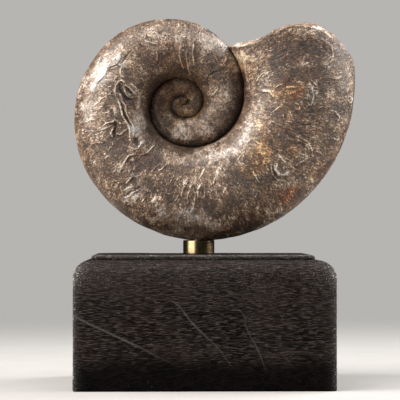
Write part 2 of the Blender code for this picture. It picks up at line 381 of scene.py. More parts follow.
def flank_side(side, keel):
    """One flank's columns as (degrees, rows, vertex numbers, keel is bare), and its seam."""
    centre = 0 if side < 0 else 1
    seams = {}

    def seam_vertex(degrees):
        if degrees <= START_DEG:
            return centre
        key = round(degrees, 4)
        if key not in seams:
            seams[key] = add_points(flank_points(degrees, AT_SEAM, side), [0.0])[0]
        return seams[key]

    first_rows = TURN_ROWS[max(TURN_ROWS)]
    made = [(START_DEG, first_rows, [centre] * (first_rows + 1), False)]
    for degrees, rows in column_angles():
        bare = degrees > LAST_TURN_DEG - SLACK_DEG
        angles = SEAM_ANGLE * np.arange(1, rows) / rows
        seam_radius, _ = seam_inside(np.array([degrees]))
        half = (outer_radius(np.array([degrees])) - seam_radius)[0] / 2
        outer = np.full_like(angles, NO_SEAM_NEAR) if bare else half * (SEAM_ANGLE - angles)
        column = [seam_vertex(degrees - 360.0)]
        column += add_points(flank_points(degrees, angles, side), np.minimum(half * angles, outer), outer)
        if degrees < LAST_TURN_DEG + SLACK_DEG:
            column.append(seam_vertex(degrees))
        else:
            column += add_points(flank_points(degrees, AT_SEAM, side), [half * 2])
        if bare:
            steps = np.arange(1, KEEL_ROWS) / KEEL_ROWS
            angles = SEAM_ANGLE + (math.pi - SEAM_ANGLE) * steps
            column += add_points(flank_points(degrees, angles, side), [half * 2] * len(angles))
            column.append(keel[round(degrees, 4)])
        made.append((degrees, rows, column, bare))
    return made, seams


def stitch(columns, seams):
    """Fills the space between columns; a finer neighbour's extra vertices join the face."""
    seam_degrees = np.array(sorted(seams))
    for (left_deg, rows, left, _), (right_deg, right_rows, right, _) in zip(columns, columns[1:]):
        step = right_rows // rows
        covered = right_deg <= LAST_TURN_DEG + SLACK_DEG
        passed = (seam_degrees > left_deg + SLACK_DEG) & (seam_degrees < right_deg - SLACK_DEG)
        for row in range(rows):
            corners = [left[row], *right[row * step : (row + 1) * step + 1]]
            if row == rows - 1 and covered:
                corners += [seams[float(key)] for key in seam_degrees[passed][::-1]]
            add_face([*corners, left[row + 1]])
        for row in range(rows, len(left) - 1):
            add_face([left[row], right[row], right[row + 1], left[row + 1]])


keel = {}
for degrees, _ in column_angles():
    if degrees > LAST_TURN_DEG - SLACK_DEG:
        point = flank_points(degrees, np.array([math.pi]), 1)
        keel[round(degrees, 4)] = add_points(point, [NO_SEAM_NEAR])[0]
front, front_seams = flank_side(-1, keel)
back, back_seams = flank_side(1, keel)
stitch(front, front_seams)
stitch(back, back_seams)
skin_count = len(vertices)
print(f"skin: {skin_count} vertices, {len(faces)} faces")

# %% Close the broken mouth
roof_index = next(i for i, column in enumerate(front) if column[3])
flank_rows = TURN_ROWS[0]
cap_rows = [front[roof_index][2][flank_rows:] + back[roof_index][2][flank_rows:-1][::-1]]
front_edge, back_edge = front[-1][2], back[-1][2]
edge_angles = list(SEAM_ANGLE * np.arange(1, flank_rows + 1) / flank_rows)
edge_angles += list(SEAM_ANGLE + (math.pi - SEAM_ANGLE) * np.arange(1, KEEL_ROWS) / KEEL_ROWS)
across = np.linspace(-1, 1, 2 * KEEL_ROWS + 1)[1:-1]
for row, angle in enumerate(edge_angles, start=1):
    degrees = break_angle((1 - math.cos(angle)) / 2, across)
    radius, depth = section(degrees, angle)
    middle = add_points(on_coil(degrees, radius, across * depth), [NO_SEAM_NEAR] * len(across))
    cap_rows.append([front_edge[row], *middle, back_edge[row]])
cap_rows.append([front_edge[-1]] * (2 * KEEL_ROWS + 1))
for upper, lower in zip(cap_rows, cap_rows[1:]):
    for index in range(2 * KEEL_ROWS):
        add_face([upper[index], lower[index], lower[index + 1], upper[index + 1]])
print(f"with the mouth closed: {len(vertices)} vertices, {len(faces)} faces")

# %% Turn vertices and faces into an object
def new_object(name, points, polygons, centre=(0.0, 0.0, 0.0)):
    mesh = bpy.data.meshes.new(name)
    mesh.from_pydata(points, [], polygons)
    shape = bmesh.new()
    shape.from_mesh(mesh)
    bmesh.ops.recalc_face_normals(shape, faces=shape.faces)
    shape.to_mesh(mesh)
    shape.free()
    mesh.update()
    mesh.shade_smooth()
    made = bpy.data.objects.new(name, mesh)
    made.location = centre
    bpy.context.scene.collection.objects.link(made)
    return made


def vectors(items, field):
    """One row of three numbers for each vertex, such as its place or its normal."""
    found = np.empty(len(items) * 3, np.float32)
    items.foreach_get(field, found)
    return found.reshape(-1, 3).astype(float)


def move_vertices(thing, places):
    thing.data.vertices.foreach_set("co", places.astype(np.float32).ravel())
    thing.data.update()


def save_masks(thing, masks):
    """Keeps one number per vertex under each name, which a material reads by that name."""
    for name, values in masks.items():
        layer = thing.data.attributes.new(name, "FLOAT", "POINT")
        layer.data.foreach_set("value", np.asarray(values, np.float32))


fossil = new_object("dressed_ammonite", vertices, faces, COIL_CENTRE)
smooth_points = vectors(fossil.data.vertices, "co")
outward = vectors(fossil.data.vertex_normals, "vector")
print("fossil before weathering", [round(side / MM, 1) for side in fossil.dimensions])

# %% [markdown]
# ## Marks on the stone
#
# Scraps of shell still cling to the stone, with raised edges that catch the
# light, and cuts and scratches show where it was cleaned. They could be sculpted
# by hand, which no script can repeat. So each one is drawn as a short line of
# points on the picture, and every vertex near the line is raised or sunk along
# its normal. The hidden flank gets the same marks, turned round the axis and a
# third larger, which is a guess.

# %% Measure the distance to a drawn line
CURVE_STEPS = 5
PIXEL_MM = 0.382
FAR_AWAY = 1e9


def softened(line):
    """A smooth curve through drawn points, given as x, y, x, y and so on."""
    drawn = np.reshape(line, (-1, 2)).astype(float)
    padded = np.vstack([2 * drawn[0] - drawn[1], drawn, 2 * drawn[-1] - drawn[-2]])
    steps = np.arange(CURVE_STEPS) / CURVE_STEPS
    curve = [smooth_curve(*padded[i : i + 4], t) for i in range(len(drawn) - 1) for t in steps]
    return np.vstack([curve, drawn[-1]])


def line_distance(places, line):
    """Distance to a line in mm, share along it, and its side: positive to the right of its run."""
    curve = softened(line)
    nearest = np.full(len(places), FAR_AWAY)
    along, beside = np.zeros((2, len(places)))
    for index, (start, end) in enumerate(zip(curve, curve[1:])):
        run = end - start
        offset = places - start
        share = np.clip(offset @ run / max(float(run @ run), 1e-9), 0.0, 1.0)
        gap = np.linalg.norm(offset - share[:, None] * run, axis=1)
        closer = gap < nearest
        nearest = np.where(closer, gap, nearest)
        along = np.where(closer, (index + share) / (len(curve) - 1), along)
        beside = np.where(closer, np.sign(run[0] * offset[:, 1] - run[1] * offset[:, 0]), beside)
    return nearest * PIXEL_MM, along, beside


def tapered(along, slope, blunt=0.0):
    """1 in the middle of a line and lower towards its ends."""
    return np.clip(np.minimum(along, 1 - along) * slope + blunt, 0, 1)


# %% Draw the marks, in pixels of the picture
# Each row: height in mm, below zero for a cut, half width in mm, then x and y of each point
MARKS = (
    (0.45, 0.30, 116.6, 97, 115.4, 94.6, 115, 91, 115.8, 86.4, 117.4, 82.8, 119.8, 80.8, 123, 81.2,
     124.8, 83),
    (0.5, 0.36, 117.8, 99, 119.8, 104.8, 121, 110, 122, 115, 124.9, 120.3, 127.4, 125.4, 129.6, 129.6,
     130, 136, 131, 142),
    (0.45, 0.24, 119, 91.2, 120.6, 96, 122.6, 101.2, 125.4, 106.6, 126.2, 112, 128, 117.5, 130.6, 122.6,
     132.8, 126.5, 133.8, 130, 133.2, 138),
    (-0.5, 0.26, 120.4, 103.5, 123, 110, 124.6, 115, 127, 120, 131, 125.5),
    (-0.45, 0.5, 119.8, 84.8, 120.8, 90.4, 123.8, 95.4, 127, 98.6, 130.4, 100),
    (0.35, 0.26, 123.6, 87.4, 124.8, 91.8, 126.8, 95, 129.6, 97.2, 132.8, 98.2),
    (0.4, 0.24, 124.2, 83.4, 126.6, 86, 130.2, 88.2, 133.2, 92, 134.6, 94.2),
    (0.3, 0.22, 127.4, 91.8, 129.4, 94.2, 132.4, 95.6), (-0.3, 0.3, 127.4, 88.4, 129.6, 91, 132, 94),
    (0.4, 0.34, 132.2, 83.6, 134.2, 86, 136.8, 88.6), (0.3, 0.26, 135, 91.2, 138, 90, 140.8, 90),
    (0.35, 0.26, 123, 62.4, 121.4, 64.6, 118.6, 65.4),
    (0.4, 0.26, 121.6, 66.6, 120.4, 70.8, 121, 75.4, 124, 77.4),
    (0.4, 0.30, 114.2, 81.2, 115.2, 77.4, 117, 76.6),
    (-0.35, 0.28, 108, 68.8, 112.6, 66.8, 116.6, 65.2, 119, 62.8, 121.6, 59),
    (-0.3, 0.22, 97, 84.6, 100, 81.4, 104, 77), (0.3, 0.24, 108, 87, 112, 86),
    (0.3, 0.24, 107.4, 93.6, 109.2, 94.6, 111.4, 91.4, 113, 91.2), (0.3, 0.24, 104, 96.6, 106.4, 96),
    (0.35, 0.26, 94, 105.6, 98.6, 102.4, 101, 98.8, 103.6, 97.6),
    (0.3, 0.24, 104, 113.2, 108.2, 112.4, 110, 109.6),
    (0.35, 0.22, 113.4, 109.4, 114.4, 113, 115.2, 116.4),
    (0.35, 0.22, 113.2, 108.8, 116.2, 108.4, 116.8, 113, 116.6, 117.4),
    (0.45, 0.28, 102.6, 126.2, 106.7, 123.5, 110.4, 122.2, 113.7, 121.6, 114.6, 118.8),
    (0.35, 0.26, 101.6, 129.4, 105.3, 128.7, 109, 126.8, 113.6, 125.2),
    (0.5, 0.30, 114.2, 127.4, 112.4, 130.6, 111.2, 134, 112.8, 137.2),
    (0.35, 0.26, 113.6, 140.4, 112.2, 145),
    (-0.6, 0.30, 115.4, 121.6, 115.9, 125.9, 115.2, 129.1, 114.6, 132, 115.8, 136.2),
    (0.3, 0.24, 117, 122.6, 121, 123.6, 124.4, 122.8),
    (0.35, 0.26, 116.4, 133.4, 120.2, 134.7, 123, 132, 126.8, 129),
    (0.25, 0.22, 117.4, 126.8, 121, 127.6),
    (0.45, 0.28, 127.2, 146.8, 130.5, 147.4, 134.7, 149.2, 137.9, 148.3, 139.9, 145.6, 141.8, 142.7,
     143.8, 141),
    (0.3, 0.22, 129.6, 148.6, 131, 151.4, 133, 150), (-0.35, 1.0, 135.4, 138, 136.4, 141.6, 135.8, 144.6),
    (0.5, 0.28, 119.3, 172.6, 121.1, 168.8, 123.5, 164.1, 125.8, 159.5, 128.6, 156.2, 131.9, 154.8,
     136, 154.3, 141, 155.4),
    (0.35, 0.26, 141, 155.4, 145.9, 153.4, 149.1, 150.4, 152.4, 146.9, 155.4, 145),
    (0.3, 0.22, 134.7, 158.2, 137, 159.6, 139.3, 157.6, 137.4, 156.6, 134.7, 158.2),
    (0.4, 0.26, 129.6, 161.6, 131.9, 159.5, 133.7, 162.7, 134.8, 166.6, 133.7, 170.4),
    (0.3, 0.24, 104.2, 158.6, 106.7, 157.2, 108.2, 154.6),
    (0.5, 0.26, 125.4, 184, 128.2, 180.8, 131.2, 177.4),
    (-0.25, 0.28, 121.4, 195, 126.3, 195.7, 129.7, 192.3, 134.3, 190.3, 141.7, 185.7),
    (0.35, 0.26, 124, 198, 129, 196.4, 133, 192.6, 139, 190),
    (0.35, 0.26, 123.6, 190.6, 128, 188.6, 132, 187.2),
    (0.4, 0.7, 151.4, 202.2, 154.6, 200.4, 156.6, 195.4), (0.35, 0.34, 141, 202.4, 144.6, 199.6),
    (0.3, 0.34, 166, 193.8, 170, 193.6), (0.4, 0.28, 184, 187.4, 186.4, 183.4, 188.6, 180.6),
    (0.3, 0.22, 183, 185.4, 185.4, 180.4, 188.4, 178.2),
    (0.4, 0.30, 197.6, 190, 199.7, 187, 201.2, 183.2),
    (0.4, 0.36, 198.8, 178.6, 201.7, 175, 204.6, 168.6),
    (0.35, 0.26, 194.6, 194.2, 198, 192, 198.4, 198.4), (0.3, 0.24, 190.2, 189.4, 191.8, 182.6),
    (0.3, 0.22, 172.2, 179.2, 174.5, 174.6), (0.3, 0.22, 177.4, 180.6, 179, 177, 182.6, 177),
    (0.3, 0.22, 169.6, 184, 171.2, 180), (0.25, 0.22, 174.3, 202.3, 177, 198.3, 178.6, 194.6),
    (0.3, 0.34, 206.6, 191.4, 211.2, 193.2), (0.25, 0.24, 187, 200, 188.4, 194, 189.6, 191),
    (0.25, 0.24, 203.6, 200, 205, 193, 205.4, 187), (0.3, 0.3, 158, 171, 162, 168.6, 166.6, 163.4),
    (0.25, 0.24, 150, 172.4, 153.6, 170, 156.8, 165.6),
    (0.35, 0.46, 277.6, 164.4, 276, 168, 277, 172, 280, 175, 284, 174.6, 288, 171.6),
    (-0.18, 0.26, 272.8, 164.6, 273.8, 170, 276, 175, 279.4, 177.8),
    (0.25, 0.24, 271.6, 163, 271.4, 169, 273.6, 175.4, 278, 180, 285, 181),
    (0.3, 0.24, 302, 138.4, 307.5, 142, 310.7, 146.5, 312.2, 151, 312.2, 155),
    (0.3, 0.22, 304.3, 141.8, 307.5, 146, 309.7, 150.6), (0.25, 0.22, 309.8, 153.8, 305.4, 157.8),
    (0.25, 0.5, 277.6, 154.2, 282, 158.4, 287.4, 163.2),
    (0.25, 0.4, 294.4, 166.4, 299, 163, 304.4, 159.8), (0.3, 0.3, 252.8, 171, 256.4, 178, 259.4, 183),
    (0.4, 0.5, 286, 87.4, 290, 87.2, 294.8, 86.8),
    (0.4, 0.24, 306, 88.4, 307.2, 85.4, 310, 84.2, 311.9, 87.2, 312.6, 91.4, 313.6, 95, 312.8, 100,
     311.2, 105.2, 308.6, 104.8, 307.2, 100.8, 307.7, 96, 308.5, 91.4, 306, 88.4),
    (0.3, 0.28, 309.6, 79.6, 312.9, 81.7, 315.7, 84.5, 319, 86.4),
    (0.35, 0.24, 294.2, 105.4, 294.6, 103.4, 297.2, 103.6, 299.4, 106.4, 299.2, 109.2, 297, 109.8,
     294.6, 107.8, 294.2, 105.4),
    (0.4, 0.34, 273.4, 111.8, 277, 109, 280.4, 106.2), (0.35, 0.26, 283.5, 114, 283.7, 116.6, 284, 119.4),
    (0.3, 0.5, 262, 90.5, 267, 91.2, 270.4, 92.4, 274.4, 97.8),
    (0.25, 0.24, 264, 72.6, 259, 77.4, 256.6, 82), (0.25, 0.24, 284.6, 71.6, 288, 74, 291.4, 72.4),
    (0.25, 0.24, 268, 127.6, 272, 121.4, 278, 124.6, 284, 125.4),
    (0.25, 0.26, 347.6, 99, 350, 96, 352.4, 99.5, 350.4, 103, 347.6, 99),
    (0.3, 0.3, 331.6, 47.4, 332.8, 56, 330.2, 63),
    (0.3, 0.3, 328, 110.8, 334, 111.5, 338.5, 117, 336.6, 122),
    (-0.25, 0.3, 297, 122, 304, 125, 312, 124), (-0.25, 0.3, 284, 128, 289, 135, 296, 138.5),
    (0.25, 0.26, 331, 138, 336, 139.4, 339, 138), (0.3, 0.22, 218, 85.8, 215.6, 91.8, 209.6, 96.8),
    (0.25, 0.22, 204.6, 66, 207.4, 63.4, 212.6, 61), (-0.25, 0.3, 219, 71, 211, 74, 207.4, 80, 209, 87),
    (0.25, 0.3, 186, 50, 187, 62, 190, 74), (0.25, 0.3, 193.5, 42, 193, 55, 194, 66),
    (0.2, 0.3, 180, 44, 180, 56, 184, 70), (0.35, 0.3, 156.4, 51.6, 157.2, 56, 156.6, 61),
    (0.3, 0.26, 143.6, 41, 149, 42.2, 157, 44), (-0.2, 0.24, 133, 47, 127, 56, 121.6, 63.5),
    (0.25, 0.22, 181, 196, 182.6, 190, 183, 184), (0.25, 0.22, 193.6, 206, 194.6, 200, 195.4, 195),
    (0.25, 0.22, 213, 184, 214.6, 179, 217.6, 175), (0.25, 0.22, 222, 196, 224, 191, 227, 187),
    (0.3, 0.24, 238, 160, 241, 155, 245, 151), (0.3, 0.24, 268.6, 100, 273, 103, 277, 101),
    (0.3, 0.24, 275, 88.6, 279, 85, 284.6, 84), (0.25, 0.24, 318, 108, 324, 106, 330, 107),
    (0.25, 0.24, 304, 116, 310, 113.6, 317, 114.6), (0.25, 0.22, 330, 77, 336, 78.6, 341, 77.6),
    (0.3, 0.24, 86, 122, 91, 119.6, 97, 120), (0.25, 0.22, 84, 132, 90, 130.4, 95, 131.4),
    (0.25, 0.22, 92, 144, 98, 142.4, 103, 143),
)
# Edges of layers of shell, with a half width of 1 so that distances stay in mm; the layer
# lies on the right of the line's run
SCRAPS = (
    (0.30, 1.0, 128.7, 47.5, 120, 62.5, 116, 68, 108, 70, 104, 76, 99, 82.4, 92, 96, 84, 112),
    (0.20, 1.0, 131, 41, 143, 39.6, 157, 43.6, 172, 40, 186, 33),
    (0.25, 1.0, 262, 27.5, 282, 32, 302, 29.5, 318, 36, 330, 45, 342, 52),
    (0.25, 1.0, 116, 206, 128, 199, 141, 194, 148, 204, 160, 208),
    (0.20, 1.0, 352, 118, 342, 133, 338, 150, 326, 168, 318, 184),
)


def nearest_line(places, lines, slope, blunt=0.0):
    """Signed distance across the nearest line, in its half widths, and the height it has here."""
    across, rise = np.zeros((2, len(places)))
    nearest = np.full(len(places), FAR_AWAY)
    for height, width, *line in lines:
        gap, along, beside = line_distance(places, line)
        gap = gap / width
        closer = gap < nearest
        nearest = np.where(closer, gap, nearest)
        across = np.where(closer, np.where(beside < 0, -gap, gap), across)
        rise = np.where(closer, height * tapered(along, slope, blunt), rise)
    return across, rise


MARK_REACH, MARK_FADE = 2.4, 1.2
LAYER_SLOPE_MM, LAYER_EDGE_MM, STEP_REACH_MM = 5.0, 0.3, 2.5


def drawn_marks(places, lines=MARKS):
    """The distance across the nearest mark, in half widths, and how high it stands here, in mm."""
    across, rise = nearest_line(places, lines, slope=6.0, blunt=0.3)
    return np.clip(across, -3, 3), rise * np.clip((MARK_REACH - np.abs(across)) / MARK_FADE, 0, 1)


def drawn_scraps(places):
    """Distance across the nearest edge of shell in mm, that edge's step, and the layers' height."""
    across, step = nearest_line(places, SCRAPS, slope=5.0)
    height = 0.0
    for strength, _, *line in SCRAPS:
        gap, along, beside = line_distance(places, line)
        inside, outside = np.exp(-gap / LAYER_SLOPE_MM), np.exp(-((gap / LAYER_EDGE_MM) ** 2))
        height = height + strength * tapered(along, slope=5.0) * np.where(beside > 0, inside, outside)
    return np.clip(across, -3, 3), step * np.clip(STEP_REACH_MM - np.abs(across), 0, 1), height


# %% [markdown]
# ### Stains
#
# Iron has coloured the stone ochre and rust in places, other patches are grey,
# and the scraps of shell are cream. Some pale ellipses also paint light: painted
# highlights on the left limb and the glint at the top, and painted light on the
# umbilical wall, the broken facet and the underside. Some dark brown ones paint
# shade beside the inner seams. A painted image could carry this, but it would
# need a flat map of a coil. A few soft ellipses, each named for its colour and
# drawn on the picture, are enough: the material breaks up their edges later.

# %% Draw the stains, in pixels of the picture
# Each ellipse: x, y of its middle, its half sizes, tilt in degrees clockwise, strength
STAINS = {
    # Pale shell, and painted light: highlights at (104, 72), (88, 108) and (212, 45), the lit umbilical wall
    # at (250, 118), (232, 146) and (200, 156), the lit broken facet at (247, 43), and the underside at (185,
    # 219) and (188, 232)
    "cream_and_lit": (
        (104, 72, 34, 15, -52, 0.86), (88, 108, 26, 9, -82, 0.8), (158, 31, 30, 9, -8, 0.35),
        (212, 45, 17, 8, 38, 1.1), (138, 122, 8, 26, 4, 1.0), (196, 128, 34, 11, -12, 0.72),
        (213, 118, 14, 11, -45, 0.55), (168, 124, 14, 16, 0, 0.42), (184, 104, 24, 22, 0, 0.34),
        (222, 100, 10, 22, 10, 0.55), (250, 118, 12, 24, 12, 0.55), (246, 60, 16, 18, 20, 0.75),
        (232, 146, 36, 13, -48, 0.8), (200, 156, 26, 7, -20, 0.75), (185, 219, 42, 11, 5, 0.75),
        (112, 102, 12, 18, 0, 0.35), (283, 207, 26, 9, -35, 0.3), (188, 232, 44, 7, 0, 0.8),
        (240, 222, 26, 9, -22, 0.35), (297, 178, 26, 12, -45, 0.35), (181, 85, 9, 5, 0, 1.0),
        (262, 92, 16, 22, 0, 0.55), (135, 193, 19, 8, -30, 0.6), (317, 29, 7, 3, 35, 0.9),
        (328, 35.5, 6, 2.5, 15, 0.8), (247, 43, 18, 4, -10, 1.0), (332, 116, 9, 4, 10, 0.5),
        (196, 188, 10, 12, 20, 0.45), (290, 76, 12, 5, 0, 0.3), (190, 50, 4, 22, -3, 0.55),
        (178, 44, 3.5, 15, -2, 0.5), (203, 54, 3, 12, -8, 0.45), (171, 58, 5, 5, 0, 0.4),
    ),
    # Dark brown stains, and painted shade beside the seams of the inner whorl at (157, 108), (239, 98) and
    # (242, 106)
    "umber_and_shade": (
        (292, 50, 28, 18, -8, 0.8), (147, 163, 12, 9, 0, 2.0), (157, 108, 9, 18, 0, 0.8),
        (239, 98, 5, 30, 3, 1.2), (152, 55, 15, 12, 20, 0.75), (124, 142, 8, 9, 0, 0.5),
        (170, 66, 9, 9, 0, 0.35), (242, 106, 7, 36, 10, 0.5), (293, 124, 14, 10, 10, 0.4),
        (163, 186, 10, 14, 20, 0.45), (184.5, 58, 2.5, 14, -2, 0.25), (197, 60, 2.5, 13, -5, 0.25),
        (226, 72, 7, 14, -20, 0.4), (166, 44, 5, 8, 10, 0.5),
    ),
    "ochre": (
        (289, 91, 17, 12, -10, 1.35), (277, 92, 6, 4, -20, 0.9), (282, 124, 22, 44, 12, 0.42),
        (296, 150, 16, 10, 0, 0.40), (244, 64, 15, 20, 0, 0.50), (184, 102, 26, 26, 0, 0.55),
        (262, 153, 10, 20, 22, 1.1), (254, 167, 18, 9, -30, 1.0), (297, 106, 4, 4, 0, 0.9),
        (262, 125, 14, 6, 40, 0.4), (283, 200, 9, 6, -30, 0.7), (315, 172, 8, 10, 0, 0.4),
        (160, 64, 14, 8, 20, 0.35), (174, 60, 28, 15, 0, 0.35), (226, 70, 9, 15, -20, 0.55),
        (205, 75, 10, 8, 0, 0.4), (132, 62, 7, 9, 0, 0.3), (232, 178, 10, 7, 0, 0.4),
    ),
    "rust": (
        (291, 197, 11, 10, -20, 1.3), (298.5, 95, 7, 7, 0, 0.75), (287, 82, 6, 4, 10, 1.3),
        (315.5, 131, 3.5, 3, 0, 0.8), (321, 168, 7, 11, 20, 0.5), (326, 178, 9, 5, -30, 0.45),
        (301, 132, 14, 6, 10, 0.4), (226, 230, 14, 4, 0, 0.35), (172, 84, 4, 4, 0, 0.8),
        (192, 86, 5, 4, 20, 0.6), (168, 50, 10, 6, 0, 0.35),
    ),
    "slate": (
        (313, 97, 10, 14, 0, 0.9), (278, 170, 14, 14, 0, 0.75), (243, 184, 18, 15, 0, 0.8),
        (322, 60, 11, 16, 0, 0.6), (150, 134, 16, 24, -28, 0.75), (128, 90, 9, 7, 0, 0.5),
        (130, 172, 16, 13, 0, 0.5), (188, 214, 34, 14, 8, 0.6), (206, 46, 14, 7, 35, 0.4),
        (330, 132, 10, 12, 0, 0.4), (136, 187, 12, 7, 0, 0.5), (116, 160, 10, 8, 0, 0.4),
    ),
}

# A stain is whole up to 0.45 of its half sizes, and gone at 1.45 of them
STAIN_END = 1.45


def drawn_stains(places):
    """How strongly each stain covers the picture places, from 0 to 1."""
    covers = []
    for ellipses in STAINS.values():
        cover = np.zeros(len(places))
        for x, y, long_half, short_half, tilt, strength in ellipses:
            turn = math.radians(tilt)
            offset = places - (x, y)
            long_way = offset @ np.array((math.cos(turn), math.sin(turn))) / long_half
            short_way = offset @ np.array((-math.sin(turn), math.cos(turn))) / short_half
            away = np.hypot(long_way, short_way)
            cover = np.maximum(cover, strength * np.clip(STAIN_END - away, 0.0, 1.0))
        covers.append(cover)
    return covers


# %% Raise, sink and stain the vertices
BACK_TURN = math.radians(110.0)
# A place on the hidden flank takes the mark that lies this much nearer to the axis in front
BACK_SCALE = 0.75
# How far noise pushes the drawn lines about, in pixels, and the size of its lumps
MARK_WOBBLE, SCRAP_WOBBLE, STAIN_WOBBLE = 0.35, 1.5, 3.0
WOBBLE_SIZE = 4 * MM
FLANKS_BLEND = 8 * MM
MARK_HEIGHT = 0.9


def as_front(points):
    """The front place that a point of the hidden flank takes its marks from."""
    x = points[:, 0] * math.cos(BACK_TURN) + points[:, 2] * math.sin(BACK_TURN)
    z = points[:, 2] * math.cos(BACK_TURN) - points[:, 0] * math.sin(BACK_TURN)
    return np.stack([x * BACK_SCALE, -points[:, 1], z * BACK_SCALE], axis=1)


def fractal(points, size, octaves, shift=0.0):
    """Cloudy noise of about -1 to 1, with its largest lumps of the given size."""
    moved = points / size + shift
    return np.array([noise.fractal(place, 0.9, 2.1, octaves) for place in moved])


front_places = picture_place(smooth_points + COIL_CENTRE)
back_places = picture_place(as_front(smooth_points) + COIL_CENTRE)
wobble = np.stack([fractal(smooth_points, WOBBLE_SIZE, 3, shift) for shift in (0.0, 7.7)], axis=1)
to_back = np.clip(smooth_points[:, 1] / FLANKS_BLEND + 0.5, 0.0, 1.0)


def on_flanks(draw, reach, share):
    """What draw finds for each flank's places, which wobble by reach pixels, joined by share."""
    front, back = (draw(places + reach * wobble) for places in (front_places, back_places))
    return [on_front * (1 - share) + on_back * share for on_front, on_back in zip(front, back)]


behind = np.where(to_back < 0.5, 0.0, 1.0)
masks = dict(zip(STAINS, on_flanks(drawn_stains, STAIN_WOBBLE, to_back)))
masks["line_across"], masks["line_rise"] = on_flanks(drawn_marks, MARK_WOBBLE, behind)
masks["edge_across"], masks["edge_step"], height = on_flanks(drawn_scraps, SCRAP_WOBBLE, behind)
height = height + MARK_HEIGHT * masks["line_rise"] * np.exp(-(masks["line_across"] ** 2))

# %% Darken the seams with dirt and painted shade
# Dirt and painted shade darken the seam, and wider painted shade lies beside it where the next
# whorl overhangs; it is deepest at the lower right, and the inner whorls have less of both.
DIRT_AND_SHADE_REACH = 0.45 * MM
SHADE_REACH = 4.4 * MM
FULL_SIZE_FROM = 25 * MM
from_axis = np.hypot(smooth_points[:, 0], smooth_points[:, 2])
whorl_size = np.clip(from_axis / FULL_SIZE_FROM, 0.15, 1.0)
dirt_and_shade = np.exp(-np.array(seam_gap) / (DIRT_AND_SHADE_REACH * whorl_size))
lower_right = (0.75 * smooth_points[:, 0] - 0.66 * smooth_points[:, 2]) / (from_axis + 1e-9)
shade = np.exp(-((np.array(outer_gap) / (SHADE_REACH * whorl_size)) ** 1.5))
shade *= 0.95 * np.clip(0.7 * lower_right + 0.45, 0.15, 1.0)
masks["seam"] = np.maximum(dirt_and_shade, shade)
masks["broken"] = is_broken = np.arange(len(vertices)) >= skin_count
save_masks(fossil, masks)
print("masks:", list(masks))

# %% Weather the skin and break the mouth's face
# Each noise has a height in mm, and the size of its lumps in metres
far_from_seam = np.clip(np.array(seam_gap) / (3 * MM), 0.15, 1.0)
swells = 0.22 * fractal(smooth_points, 11 * MM, 2) + 0.10 * fractal(smooth_points, 3 * MM, 3, 3.1)
relief = (height + swells) * far_from_seam * MM
relief[is_broken] = 0.0
weathered = smooth_points + outward * relief[:, None]

lumps = fractal(smooth_points, 9 * MM, 4, 5.5)
chips = np.abs(fractal(smooth_points, 4 * MM, 3, 9.2))
fracture = (np.minimum(lumps, 0.1) * 2.4 - chips * 0.9) * MM
inner_share = np.zeros(len(vertices))
for row, angle in zip(cap_rows[1:-1], edge_angles):
    for step, vertex in enumerate(row[1:-1], start=1):
        spot = step / KEEL_ROWS - 1
        inner_share[vertex] = min((1 - spot * spot) * 3.0, 1.0) * math.sin(angle) ** 0.5
weathered[is_broken] += (outward * (fracture * inner_share)[:, None])[is_broken]

# %% Grind the flat spot under the fossil
COLLAR_X = -1.7 * MM
SEAT_Z = 55.8 * MM
seat = SEAT_Z - COIL_CENTRE[2]
weathered[:, 2] = np.maximum(weathered[:, 2], seat)
move_vertices(fossil, weathered)
shape = bmesh.new()
shape.from_mesh(fossil.data)
bmesh.ops.triangulate(shape, faces=shape.faces)
print("edges that aren't shared by two faces:", sum(not edge.is_manifold for edge in shape.edges))
print(f"volume {shape.calc_volume() * 1e6:.1f} cm3")
shape.to_mesh(fossil.data)
shape.free()
fossil.data.shade_smooth()
fossil.data.set_sharp_from_angle(angle=math.radians(62.0))
flat = weathered[weathered[:, 2] < seat + 1e-6]
print(f"{len(fossil.data.polygons)} triangles, flat spot {np.ptp(flat[:, 0]) / MM:.1f} mm long")
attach(fossil, "root")
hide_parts("ammonite")

# %% [markdown]
# ## Node groups
#
# Mottling, thin lines, wisps, growth streaks and ragged stains are each needed
# several times. They could be copied wherever they occur, but a change would
# then have to be made in every copy. So each is a node group with named inputs,
# built once. A group puts out a mask, and the shader stays in the material.

# %% Write down how nodes are joined
def new_group(name, **defaults):
    """A node group that puts out one mask; an input without a default takes coordinates."""
    group = bpy.data.node_groups.new(name, "ShaderNodeTree")
    for socket, default in defaults.items():
        kind = "NodeSocketVector" if default is None else "NodeSocketFloat"
        made = group.interface.new_socket(socket.replace("_", " "), in_out="INPUT", socket_type=kind)
        if default is not None:
            made.default_value = default
    group.interface.new_socket("Mask", in_out="OUTPUT", socket_type="NodeSocketFloat")
    return group, group.nodes.new("NodeGroupInput").outputs, group.nodes.new("NodeGroupOutput")


def use_group(tree, group, **inputs):
    """Places a node group in a material with its own values, and gives its mask."""
    made = tree.nodes.new("ShaderNodeGroup")
    made.node_tree = group
    set_inputs(tree, made, {name.replace("_", " "): value for name, value in inputs.items()})
    return made.outputs["Mask"]


def maths(tree, operation, first, second=0.0, third=0.0):
    return add_node(tree, "Math", {0: first, 1: second, 2: third}, operation=operation).outputs[0]


def times(tree, first, second):
    return maths(tree, "MULTIPLY", first, second)


def weighted(tree, start, *terms):
    """Adds up masks, each times its own weight."""
    total = start
    for mask, weight in terms:
        total = maths(tree, "MULTIPLY_ADD", mask, weight, total)
    return total


def between(tree, value, low, high, out_low=0.0, out_high=1.0):
    """Maps low..high to out_low..out_high along a soft S-shaped step."""
    ends = {0: value, 1: low, 2: high, 3: out_low, 4: out_high}
    return add_node(tree, "MapRange", ends, interpolation_type="SMOOTHSTEP").outputs[0]


def mask_named(tree, name):
    return add_node(tree, "Attribute", attribute_name=name).outputs["Fac"]


